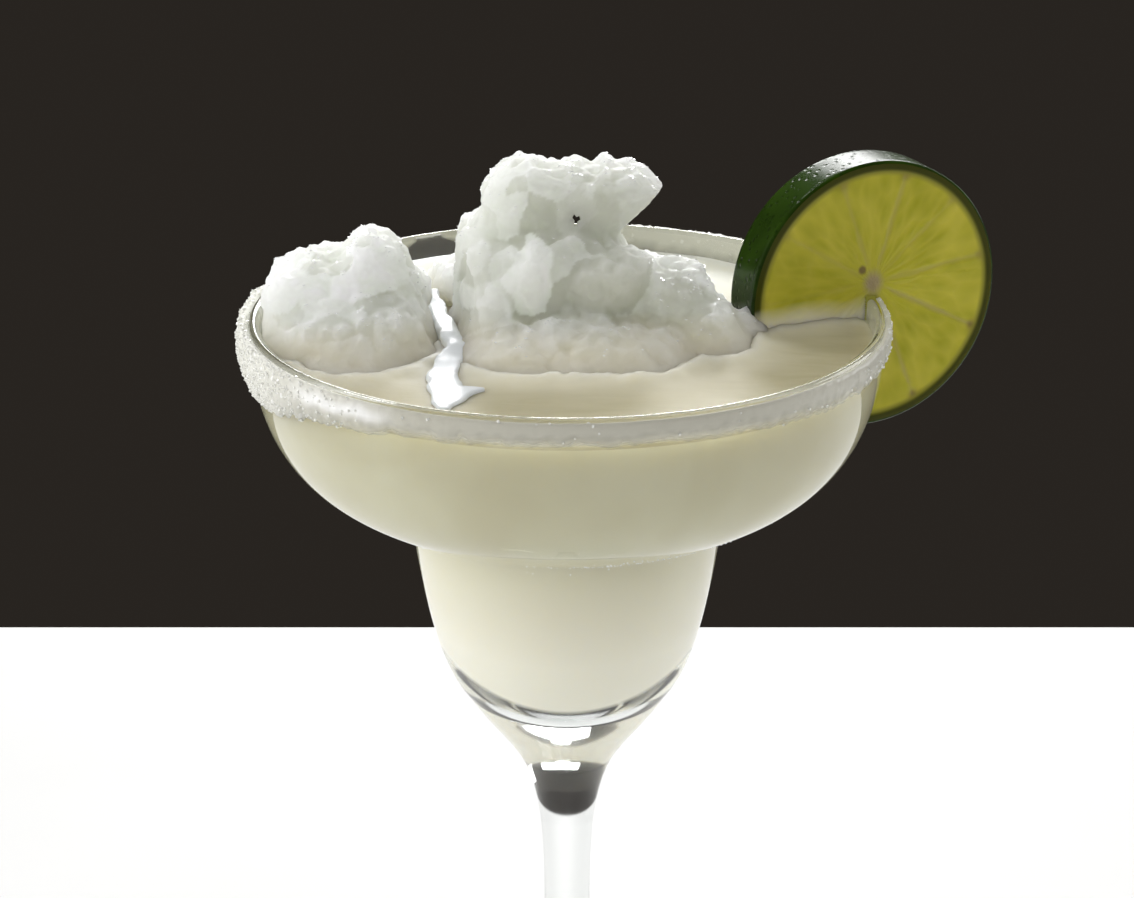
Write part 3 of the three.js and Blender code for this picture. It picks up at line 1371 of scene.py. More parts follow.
LEFT_MOUND = (
    Lump(-38.5, -1, -1.5, 14.8, 14.5, 9.0, 0.82),
    Lump(-33, -4, -3.0, 9.6, 12.5, 8.0, 0.78),
    Lump(-46, -1, 3.0, 7.2, 9, 6.2, 0.95),
    Slab(
        ((-53, -5), (-53.4, 0), (-52.6, 4), (-51.6, 7.2), (-49.3, 8.8), (-47.6, 8.6), (-46.4, 9.6),
         (-44.6, 10.5), (-42.4, 10.0), (-40.5, 9.6), (-38.6, 10.3), (-37.2, 12.4), (-35.6, 14.2),
         (-33.4, 14.4), (-31.2, 13.4), (-29.0, 12), (-27.6, 10), (-26.9, 7.3), (-25.2, 4.6),
         (-24.4, 1.3), (-24.4, -5)),
        3.0, 9.5, 0.76,
    ),
    Lump(-30.5, 11, 0.5, 6.6, 9, 6, 0.9),
)
TOWER = (
    Slab(
        ((-19.6, -4), (-20.0, 1.2), (-19.9, 6.1), (-19.4, 9.9), (-19.2, 12.6), (-18.2, 14.6), (-16.4, 15.4),
         (-15.2, 15.5), (-14.4, 16.8), (-15.0, 18.8), (-14.6, 21.0), (-13.2, 23.4), (-11.0, 25.3),
         (-8.6, 26.4), (-6.0, 26.1), (-3.2, 25.0), (-1.0, 24.8), (0.6, 25.6), (2.4, 25.4), (4.0, 24.4),
         (4.9, 23.4), (5.6, 24.4), (6.4, 26.0), (7.6, 26.3), (8.6, 25.4), (9.4, 24.8), (11.0, 25.0),
         (12.8, 24.3), (14.6, 22.9), (17.0, 21.2), (15.4, 19.2), (13.6, 17.4), (11.4, 15.2), (9.6, 14.0),
         (9.0, 13.0), (9.5, 11.5), (12, 8), (14, -4)),
        6.0, 8.4, 0.52,
    ),
    Slab(
        ((-18.0, -4), (-18.6, 4), (-17.6, 10), (-14, 13), (-8, 14.2), (-2, 13), (4, 12.6), (10, 12.4),
         (15, 10.5), (18.5, 6), (20.5, 0), (20.5, -4)),
        -1.0, 6.8, 0.6,
    ),
    Lump(-8, 5, 18.5, 6.0, 8.0, 6.2, 0.55),
    Lump(4, 6, 17.5, 5.6, 8.0, 6.0, 0.46),
    Lump(-13, 2, 7.2, 6.6, 9, 7.6, 0.5),
    Lump(-2, 1, 7, 10, 8.6, 9, 0.55),
)
FRONT_PIECES = (
    Slab(
        ((-7.8, 12.8), (-9.9, 10.1), (-11.7, 6.9), (-8.9, 2.6), (-6.3, 1), (-3.8, 2.1), (-2.2, 5.1),
         (-1.9, 7.4), (-3.2, 13.5), (-6.3, 14.6)),
        -3.9, 6.0, 1.0,
    ),
    Slab(
        ((-1.6, 6.1), (-0.2, 2.3), (2.4, 0.7), (7.5, 0.7), (11.6, 1.8), (12.6, 3.4), (14.1, 7.1),
         (14.4, 10.7), (11.5, 11.4), (6.4, 11.7), (1.3, 11.4), (-1.2, 10.1)),
        -3.1, 6.2, 0.1,
    ),
    Lump(-12.6, -4, 1.0, 5.4, 7, 7.4, 0.62),
    Lump(17.5, 1, 3.4, 8.0, 9, 6, 0.5),
    Slab(
        ((18.2, -5.1), (21, -8.6), (28.2, -8), (30.4, -3), (28.5, 2.0), (25.4, 3.8), (21.6, 3.4),
         (18.6, 0.4)),
        -3.0, 7.5, 0.42,
    ),
    Lump(2, -4.5, -5.0, 20.5, 18.0, 6.6, 0.22),
    Lump(-6, -5, -4.6, 12.0, 14.5, 6.6, 0.26),
    Lump(30.5, 0, -2.2, 3, 3, 2.6, 0.6),
)
BACK_MOUND = (
    Lump(-3, 18, -1, 14, 11, 7, 0.7),
    Lump(-17, 22, -1, 8, 9, 5.6, 0.75),
    Lump(13, 20, -1.5, 10, 9, 5.8, 0.6),
)
CORES = (
    Lump(-37, -1, -5, 13, 18, 6, 0.6),
    Lump(3, 0, -5, 22, 19, 8, 0.5),
)


@dataclass
class IceHeap:
    """The heap of wet ice that stands out of the drink, fused from its pieces."""

    glass: GlassVessel
    sunk: float = 8.0  # how far it reaches down, below the rim
    voxel: float = 0.45
    smoothing: int = 4
    last_smoothing: int = 2
    crease_rounds: int = 30
    hole: Point = (1.6, 17.2)
    hole_half: Point = (0.8, 1.2)
    hole_fall: float = 0.29  # how steeply it runs down to the back
    hole_ends: Point = (-14.0, 26.0)
    slump_height: float = 6.0
    slump_reach: float = 4.0
    # The sizes of the skin's dents, chips, flakes, grain and fused crystals, and how deep they are
    dent: Point = (6.5, 0.4)
    ripple: Point = (2.3, 0.12)
    chip: Point = (4.2, 0.6)
    flake: Point = (1.7, 0.3)
    grain: Point = (1.9, 0.75)
    crystal: Point = (6.5, 0.4)
    crystal_tone: float = 0.6  # how much the fused crystals differ in whiteness
    thick: float = 16.0  # where light from behind no longer reaches
    shore: np.ndarray | None = None  # where the heap meets the drink, once it is built
    pieces: tuple[Lump | Slab, ...] = CORES + LEFT_MOUND + TOWER + FRONT_PIECES + BACK_MOUND

    def rough(self) -> tuple[bpy.types.Object, BVHTree, np.ndarray]:
        """Every piece in one object.

        Returns:
            The object, its faces as a tree to search, and the whiteness of each face.
        """
        shapes = [part.shape(number, self.glass.height) for number, part in enumerate(self.pieces)]
        tones = [part.tone for part, shape in zip(self.pieces, shapes) for _ in shape.faces]
        every = joined(shapes)
        tree = BVHTree.FromPolygons(every.corners.tolist(), every.faces)
        return as_object("ice_pile", every), tree, np.array(tones)

    def pierce(self, piece: bpy.types.Object) -> None:
        """Melts the small hole through the tower.

        Args:
            piece: The heap.
        """
        x, z = self.hole
        count = 9
        angles = np.linspace(0.0, 2 * math.pi, count, endpoint=False)
        reach = 0.75 + 0.35 * np.sin(3.0 * angles + 0.6)
        across = x + self.hole_half[0] * reach * np.cos(angles)
        height = z + self.glass.height + self.hole_half[1] * reach * np.sin(angles)
        ends = [
            np.column_stack([across, np.full(count, y), height - self.hole_fall * (y + 2.0)])
            for y in self.hole_ends
        ]
        faces: list[tuple[int, ...]] = [tuple(range(count)), tuple(range(count, 2 * count))[::-1]]
        for i in range(count):
            j = (i + 1) % count
            faces.append((j, i, count + i, count + j))
        cut_away(piece, MeshData(np.vstack(ends), faces), Solver.QUICK)

    def relief(self, corners: np.ndarray, up: np.ndarray) -> np.ndarray:
        """How far the skin stands out or in at each corner: soft dents, chips and grain.

        Args:
            corners: The heap's corners.
            up: How far each faces up, from -1 to 1.

        Returns:
            The distance at each corner.
        """
        middle = 0.45  # about the middle of a cell's distances
        chips = middle - cells_at(corners / self.chip[0])
        flakes = middle - cells_at(corners / self.flake[0] + 3.0)
        soft = self.dent[1] * noise_at(corners, self.dent[0])
        soft += self.ripple[1] * noise_at(corners, self.ripple[0], 5.0)
        grain = np.clip(up + 0.3, 0.05, 1.0) * noise_at(corners, self.grain[0], 8.0)
        return soft + self.chip[1] * chips + self.flake[1] * flakes + self.grain[1] * grain

    def crystals(self, corners: np.ndarray) -> np.ndarray:
        """A number from -0.5 to 0.5 that differs from one fused crystal of ice to the next.

        Args:
            corners: The heap's corners.

        Returns:
            Each corner's number.
        """
        bent = corners / self.crystal[0] + 0.25 * noise_at(corners, 5.0, 11.0)[:, None]
        seeds = np.array([noise.voronoi(Vector(p))[1][0][:] for p in bent.tolist()])
        shuffle = np.array([12.99, 78.23, 37.72])
        shuffled = 43758.5 * np.sin(seeds @ shuffle)
        return shuffled - np.floor(shuffled) - 0.5

    def fit(self, corners: np.ndarray) -> np.ndarray:
        """Keeps the heap inside the wall and ends it below the drink's surface.

        Args:
            corners: The heap's corners.

        Returns:
            The corners, moved where they have to be.
        """
        fitted = corners.copy()
        fitted[:, 2] = np.maximum(fitted[:, 2], self.glass.height - self.sunk)
        inner = self.glass.rim_radius - self.glass.wall - 0.6
        above = np.clip(fitted[:, 2] - self.glass.height - 0.4, 0.0, 1.0)
        most = inner + 0.5 * above
        radius = np.hypot(fitted[:, 0], fitted[:, 1])
        share = np.minimum(1.0, most / np.maximum(radius, 1e-6))
        fitted[:, :2] *= share[:, None]
        return fitted

    def slump(self, piece: bpy.types.Object, corners: np.ndarray) -> np.ndarray:
        """Spreads the heap's foot where it melts into the drink.

        Args:
            piece: The heap.
            corners: Its corners.

        Returns:
            The corners, moved outwards near the drink.
        """
        out = normals_of(piece)[:, :2]
        flat = out / np.maximum(np.linalg.norm(out, axis=1), 0.3)[:, None]
        above = (corners[:, 2] - self.glass.height + self.glass.drink_depth) / self.slump_height
        push = self.slump_reach * (1.0 - np.clip(above, 0.0, 1.0)) ** 2
        spread = corners.copy()
        spread[:, :2] += flat * push[:, None]
        return spread

    def thinness(self, piece: bpy.types.Object, corners: np.ndarray) -> np.ndarray:
        """How thin the ice is behind each corner, from 0 where it is thick to 1.

        Args:
            piece: The heap.
            corners: Its corners.

        Returns:
            The thinness at each corner.
        """
        faces = [tuple(face.vertices) for face in piece.data.polygons]
        tree = BVHTree.FromPolygons(corners.tolist(), faces)
        out = normals_of(piece)
        total = np.zeros(len(corners))
        leans = ((0.0, 0.0, 0.0), (0.7, 0.3, 0.2), (-0.6, 0.5, 0.1), (0.1, -0.3, 0.7), (-0.2, 0.6, -0.5))
        for lean in leans:
            inward = np.array(lean) - out
            inward /= np.linalg.norm(inward, axis=1)[:, None]
            starts = corners - 0.15 * out
            for index, (start, way) in enumerate(zip(starts.tolist(), inward.tolist())):
                reach = tree.ray_cast(start, way, self.thick)[3]
                total[index] += self.thick if reach is None else reach
        return 1.0 - total / (len(leans) * self.thick)

    @staticmethod
    def averaged(piece: bpy.types.Object, corners: np.ndarray, rounds: int) -> np.ndarray:
        """Each corner's place after a number of rounds of moving to the middle of its neighbours.

        Args:
            piece: The heap.
            corners: Its corners.
            rounds: How many rounds.

        Returns:
            The smoothed corners.
        """
        edges = np.empty(2 * len(piece.data.edges), dtype=np.int64)
        piece.data.edges.foreach_get("vertices", edges)
        ends = edges.reshape(-1, 2)
        near = np.concatenate([ends[:, 0], ends[:, 1]])
        far = np.concatenate([ends[:, 1], ends[:, 0]])
        count = np.maximum(np.bincount(near, minlength=len(corners)), 1)
        mean = corners.copy()
        for _ in range(rounds):
            sums = [np.bincount(near, weights=mean[far, axis], minlength=len(corners)) for axis in range(3)]
            mean = np.stack(sums, axis=1) / count[:, None]
        return mean

    def fill_creases(self, piece: bpy.types.Object) -> None:
        """Melts the sharp creases between the pieces, and leaves what stands out as it is.

        Args:
            piece: The heap.
        """
        corners = corners_of(piece)
        out = normals_of(piece)
        hollow = np.sum((self.averaged(piece, corners, self.crease_rounds) - corners) * out, axis=1)
        move_corners(piece, corners + out * np.maximum(hollow, 0.0)[:, None])

    def crests(self, piece: bpy.types.Object, corners: np.ndarray, dull: np.ndarray) -> np.ndarray:
        """Where the skin is ridged and faces up, from 0 to 1: there white crystals also stand in for the
        glints that light makes on the ice.

        Args:
            piece: The heap.
            corners: Its corners.
            dull: How far crystals stand out from the ice at each corner, from 0 to 1.

        Returns:
            The share of crystals at each corner.
        """
        out = normals_of(piece)
        ridge = np.sum((corners - self.averaged(piece, corners, 10)) * out, axis=1)
        clusters = np.clip(0.35 + noise_at(corners, 9.0, 7.0), 0.0, 1.0)
        return np.clip(ridge / 0.35, 0.0, 1.0) * np.clip(out[:, 2] + 0.35, 0.0, 1.0) * clusters * dull

    def mark(self, piece: bpy.types.Object, corners: np.ndarray, own: np.ndarray, fused: np.ndarray) -> None:
        """Stores where the heap is white, with painted light from behind where it is thin, where it is
        creamy and where crystals sit on it.

        Args:
            piece: The heap.
            corners: Its corners.
            own: The whiteness of the piece that each corner comes from.
            fused: The number of the fused crystal at each corner, from -0.5 to 0.5.
        """
        above = corners[:, 2] - self.glass.height
        # Painted light: thin ice is made whiter, standing in for light from behind shining through it.
        painted_backlight = 0.8 * (self.thinness(piece, corners) - 0.35)
        patches = 0.16 * noise_at(corners, 8.0, 2.0) + 0.08 * noise_at(corners, 3.5, 6.0)
        plain = (own > 0.2) & (own < 0.95)
        patches += self.crystal_tone * fused * plain
        set_attribute(piece, "tone", np.clip(own + painted_backlight + patches, 0.0, 1.0))
        front = np.clip(-corners[:, 1] / 14.0, 0.0, 1.0)
        low = (above + 4.5 - 1.5 * front) / 6.0 + 0.25 * noise_at(corners, 8.0, 4.0)
        set_attribute(piece, "cream", 1.0 - np.clip(low, 0.0, 1.0))
        dry = np.clip((above + 2.0) / 2.0, 0.0, 1.0)
        dull = dry * np.clip(2.6 - 2.6 * own, 0.1, 1.0)
        set_attribute(piece, "crest", self.crests(piece, corners, dull))

    def build(self) -> list[bpy.types.Object]:
        """Makes and dresses the heap and the crystals on it.

        Returns:
            The finished pieces.
        """
        piece, tree, tones = self.rough()
        fuse(piece, self.voxel, self.smoothing)
        self.fill_creases(piece)
        fuse(piece, self.voxel, self.last_smoothing)
        corners = corners_of(piece)
        own = tones[[tree.find_nearest(c)[2] for c in corners.tolist()]]
        out = normals_of(piece)
        fused = self.crystals(corners)
        raised = self.relief(corners, out[:, 2]) + self.crystal[1] * fused
        corners = self.slump(piece, corners + out * raised[:, None])
        corners = self.fit(corners)
        move_corners(piece, corners)
        level = self.glass.height - self.glass.drink_depth
        self.shore = corners[np.abs(corners[:, 2] - level) < 0.35][:, :2]
        self.mark(piece, corners, own, fused)
        self.pierce(piece)
        piece.data.materials.clear()
        piece.data.materials.append(IceFinish().material())
        piece.data.shade_smooth()
        # White flakes on the crests: frost crystals that also stand in for glints.
        glint = GlintFinish().material("ice_crystal")
        flakes = Scatter("ice_crystals_and_glints", Bit.FLAKE, "crest", 3.2, 0.42, spread=0.6, seed=5, tilt=0.2)
        loose = flakes.over(piece, glint)
        return [declare(piece, Slot.ICE, Node.ICE), declare(loose, Slot.ICE)]


@dataclass
class MeltChannel:
    """The run of melt between the mounds, coloured pale as a painted highlight of the light from behind."""

    glass: GlassVessel
    thick: float = 3.0
    voxel: float = 0.4
    smoothing: int = 4
    ragged: float = 0.7
    ragged_length: float = 3.2
    # Across, depth and height above the rim, with the half width, from the crevice down to the rim
    path: tuple[tuple[float, float, float, float], ...] = (
        (-25.0, 14.0, 0.0, 2.0), (-23.4, 7.0, -1.0, 1.9), (-21.6, 0.5, -1.3, 1.7),
        (-20.4, -5.0, -1.7, 1.8), (-18.6, -10.5, -2.5, 2.3), (-19.8, -15.5, -3.4, 2.5),
        (-21.2, -20.5, -4.1, 2.4), (-20.6, -25.0, -4.5, 2.8), (-19.4, -30.0, -4.5, 3.3),
        (-20.6, -37.8, -4.4, 0.9),
    )
    branch: tuple[tuple[float, float, float, float], ...] = (
        (-20.0, -29.5, -4.5, 3.6), (-17.0, -28.4, -4.5, 2.2), (-13.4, -27.0, -4.5, 0.5),
    )

    def run(self, path: tuple[tuple[float, float, float, float], ...]) -> MeshData:
        """One run of melt, as a closed band that follows a path.

        Args:
            path: The run's places and half widths.

        Returns:
            Its mesh.
        """
        points = np.array(path)
        count = len(points)
        along = np.gradient(points[:, :2], axis=0)
        along /= np.linalg.norm(along, axis=1)[:, None]
        across = np.stack([along[:, 1], -along[:, 0]], axis=1) * points[:, 3:]
        height = points[:, 2] + self.glass.height
        corners = []
        for side, down in ((-1.0, 0.0), (1.0, 0.0), (1.0, self.thick), (-1.0, self.thick)):
            corners.append(np.column_stack([points[:, :2] + side * across, height - down]))
        stacked = np.stack(corners, axis=1).reshape(-1, 3)
        faces: list[tuple[int, ...]] = [(3, 2, 1, 0), tuple(4 * (count - 1) + i for i in range(4))]
        for step in range(count - 1):
            low = 4 * step
            for i in range(4):
                j = (i + 1) % 4
                faces.append((low + i, low + j, low + 4 + j, low + 4 + i))
        return MeshData(stacked, faces)

    def build(self) -> bpy.types.Object:
        """Makes and dresses the melt.

        Returns:
            The finished piece.
        """
        piece = as_object("melt_channel_painted_highlight", joined([self.run(self.path), self.run(self.branch)]))
        fuse(piece, self.voxel, self.smoothing)
        corners = corners_of(piece)
        corners[:, 0] += self.ragged * noise_at(corners, self.ragged_length, 1.0)
        corners[:, 1] += self.ragged * noise_at(corners, self.ragged_length, 4.0)
        corners[:, 2] += 0.2 * noise_at(corners, 5.0)
        move_corners(piece, corners)
        piece.data.materials.append(PaintedMeltHighlight().material())
        piece.data.shade_smooth()
        return declare(piece, Slot.ICE)


# The salt

# Degrees round the rim from +X, and the crust's height, thickness and roughness there
SALT_ROUND = (
    (0, 5.6, 1.0, 0.6),
    (60, 5.0, 1.0, 0.6),
    (108, 4.0, 0.8, 0.5),
    (116, 0.6, 0.2, 0.1),
    (121, 0.6, 0.2, 0.1),
    (128, 4.5, 0.9, 0.7),
    (150, 7.0, 1.5, 1.0),
    (178, 11.0, 2.0, 1.2),
    (202, 10.0, 1.8, 1.1),
    (222, 6.4, 1.1, 0.6),
    (245, 4.4, 0.7, 0.3),
    (270, 4.0, 0.6, 0.25),
    (300, 4.4, 0.7, 0.3),
    (335, 5.2, 0.9, 0.45),
    (360, 5.6, 1.0, 0.6),
)


@dataclass
class SaltRim:
    """The crust of damp salt round the outside of the rim, with loose grains on it."""

    glass: GlassVessel
    steps: int = 1080
    rows: int = 9
    into_wall: float = 0.08
    shoulder: float = 0.35  # where the crust starts, as a share of the wall below the rim
    grain: float = 0.42
    grain_density: float = 1.7
    grain_white: Colour = (0.88, 0.88, 0.83)
    crag: Point = (1.5, 0.5)  # the size and height of the crags
    small_crag: Point = (0.7, 0.3)
    highlight_turn: float = 228.0  # where the painted highlight on the rim is brightest
    highlight_reach: float = 6.5
    highlight_drop: float = 2.6  # how far below the rim the painted highlight is brightest

    def crust(self) -> bpy.types.Object:
        """The crust, as a ring of rough sections against the wall.

        Returns:
            The crust, with its numbers stored.
        """
        angles = np.linspace(0.0, 2 * math.pi, self.steps, endpoint=False)
        table = np.array(SALT_ROUND)
        turn = np.degrees(angles)
        round_it = np.stack([np.cos(angles), np.sin(angles), np.zeros(self.steps)], axis=1)
        path = round_it * self.glass.rim_radius
        rough = np.interp(turn, table[:, 0], table[:, 3])
        ragged = 1.0 + 0.14 * noise_at(path, 5.0) + (0.05 + 0.14 * rough) * noise_at(path, 1.6, 4.0)
        heights = np.interp(turn, table[:, 0], table[:, 1]) * ragged
        thick = np.interp(turn, table[:, 0], table[:, 2])
        down = np.linspace(0.0, 1.0, self.rows)
        start = self.shoulder * self.glass.wall
        sections = np.empty((self.steps, 2 * self.rows, 3))
        wall_depths = np.linspace(0.0, 14.0, 60)
        wall_radii = np.array([self.glass.wall_radius(d) for d in wall_depths])
        for row in range(self.rows):
            depth = start + heights * down[row]
            wall = np.interp(depth, wall_depths, wall_radii)
            inner = wall - self.into_wall
            belly = math.sin(math.pi * (0.22 + 0.765 * down[row])) ** 0.6
            outer = wall + thick * belly
            lift = np.where(row == 0, 0.25 * thick, 0.0)
            for index, radius, rise in ((row, inner, 0.0), (2 * self.rows - 1 - row, outer, lift)):
                sections[:, index] = round_it * radius[:, None]
                sections[:, index, 2] = self.glass.height - depth + rise
        piece = as_object("salt_crust", wrapped(sections), SaltFinish().material())
        self.roughen(piece)
        return piece

    def roughen(self, piece: bpy.types.Object) -> None:
        """Raises crags on the crust's outer face, and stores where grains may sit.

        Args:
            piece: The crust.
        """
        corners = corners_of(piece)
        out = normals_of(piece)
        radius = np.hypot(corners[:, 0], corners[:, 1])
        wall = np.array([self.glass.wall_radius(max(0.0, self.glass.height - z)) for z in corners[:, 2]])
        proud = np.clip((radius - wall) / 0.8, 0.0, 1.0)
        table = np.array(SALT_ROUND)
        turn = np.degrees(np.arctan2(corners[:, 1], corners[:, 0])) % 360.0
        rough = np.interp(turn, table[:, 0], table[:, 3])
        crags = self.crag[1] * noise_at(corners, self.crag[0])
        crags += self.small_crag[1] * noise_at(corners, self.small_crag[0], 2.0)
        move_corners(piece, corners + out * (proud * rough * crags)[:, None])
        set_attribute(piece, "grain_share", proud * np.clip(1.6 * rough - 0.6, 0.04, 1.0))
        set_attribute(piece, "dry", np.clip(rough, 0.0, 1.0))
        # Painted highlight: a lamp's reflection on the front left of the rim, stored as wet.
        highlight_band = np.clip(2.0 - np.abs(turn - self.highlight_turn) / self.highlight_reach, 0.0, 1.0)
        drop = self.glass.height - corners[:, 2] + 0.6 * noise_at(corners, 4.0, 3.0)
        set_attribute(piece, "wet", highlight_band * np.exp(-(((drop - self.highlight_drop) / 1.2) ** 2)))
        section = np.concatenate([np.linspace(0, 1, self.rows), np.linspace(1, 0, self.rows)])
        down = np.tile(section, self.steps)
        fade = np.clip((down - 0.45) / 0.55 + 0.3 * noise_at(corners, 2.0, 5.0), 0.0, 1.0)
        set_attribute(piece, "cover", 1.0 - fade * np.clip(1.6 - 1.6 * rough, 0.0, 1.0))

    def build(self) -> list[bpy.types.Object]:
        """Makes and dresses the crust and its grains.

        Returns:
            The finished pieces.
        """
        crust = self.crust()
        finish = GlintFinish(self.grain_white).material("salt_grain")
        density = self.grain_density
        grains = Scatter("salt_grains", Bit.CUBE, "grain_share", density, self.grain, spread=0.5, seed=11)
        loose = grains.over(crust, finish)
        return [declare(crust, Slot.SALT, Node.SALT), declare(loose, Slot.SALT)]


# Small things scattered over a surface


class Bit(Enum):
    """The shapes that are scattered, by their size across."""

    CUBE = (1.0, 1.0, 1.0)
    FLAKE = (1.0, 1.0, 0.3)
    BEAD = (0.5, 0.5, 0.5)


@dataclass
class Scatter:
    """Small bits scattered over a surface by Geometry Nodes."""

    name: str
    bit: Bit
    share: str  # the stored number that says where bits may lie
    density: float  # bits to the square millimetre
    size: float
    spread: float  # how much their sizes differ, from 0 to 1
    seed: int
    tilt: float = math.pi  # how far they may lean

    def tree(self) -> bpy.types.NodeTree:
        """The node tree that scatters, turns and sizes the bits.

        Returns:
            The tree, with its sizes, seed and finish as inputs.
        """
        tree = bpy.data.node_groups.new(self.name, "GeometryNodeTree")
        add_sockets(
            tree,
            {"Geometry": "NodeSocketGeometry", "Density": "NodeSocketFloat", "Size": "NodeSocketFloat",
             "Least": "NodeSocketFloat", "Seed": "NodeSocketInt", "Finish": "NodeSocketMaterial"},
            {"Geometry": "NodeSocketGeometry"},
        )
        given = add_node(tree, "NodeGroupInput").outputs
        share = add_node(tree, "GeometryNodeInputNamedAttribute", {"Name": self.share}, data_type="FLOAT")
        density = worked_out(tree, Operation.PRODUCT, share.outputs["Attribute"], given["Density"])
        spots = add_node(tree, "GeometryNodeDistributePointsOnFaces",
                         {"Mesh": given["Geometry"], "Density": density, "Seed": given["Seed"]})
        if self.bit is Bit.BEAD:
            sizes = {"Radius": self.bit.value[0], "Subdivisions": 2}
            shape = add_node(tree, "GeometryNodeMeshIcoSphere", sizes)
        else:
            shape = add_node(tree, "GeometryNodeMeshCube", {"Size": self.bit.value})
        turn = add_node(tree, "FunctionNodeRandomValue",
                        {0: (-self.tilt, -self.tilt, -math.pi), 1: (self.tilt, self.tilt, math.pi),
                         "Seed": given["Seed"]},
                        data_type="FLOAT_VECTOR")
        scale = add_node(tree, "FunctionNodeRandomValue",
                         {2: given["Least"], 3: given["Size"], "Seed": given["Seed"]}, data_type="FLOAT")
        bits = add_node(tree, "GeometryNodeInstanceOnPoints",
                        {"Points": spots.outputs["Points"], "Instance": shape.outputs["Mesh"],
                         "Rotation": turn.outputs[0], "Scale": scale.outputs[1]})
        real = add_node(tree, "GeometryNodeRealizeInstances", {"Geometry": bits.outputs["Instances"]})
        dressed = add_node(tree, "GeometryNodeSetMaterial",
                           {"Geometry": real.outputs["Geometry"], "Material": given["Finish"]})
        add_node(tree, "NodeGroupOutput", {"Geometry": dressed.outputs["Geometry"]})
        return tree

    def over(self, surface: bpy.types.Object, finish: bpy.types.Material) -> bpy.types.Object:
        """Scatters the bits.

        Args:
            surface: What they lie on.
            finish: Their material.

        Returns:
            The bits, as one plain mesh object.
        """
        piece = bpy.data.objects.new(self.name, surface.data.copy())
        bpy.context.scene.collection.objects.link(piece)
        tree = self.tree()
        modifier = piece.modifiers.new(self.name, "NODES")
        modifier.node_group = tree
        values = {
            "Density": self.density / (MM * MM),
            "Size": self.size * MM,
            "Least": self.size * (1.0 - self.spread) * MM,
            "Seed": self.seed,
            "Finish": finish,
        }
        for item in tree.interface.items_tree:
            if item.in_out == "INPUT" and item.name in values:
                modifier[item.identifier] = values[item.name]
        bake_modifiers(piece)
        return piece


# The lime


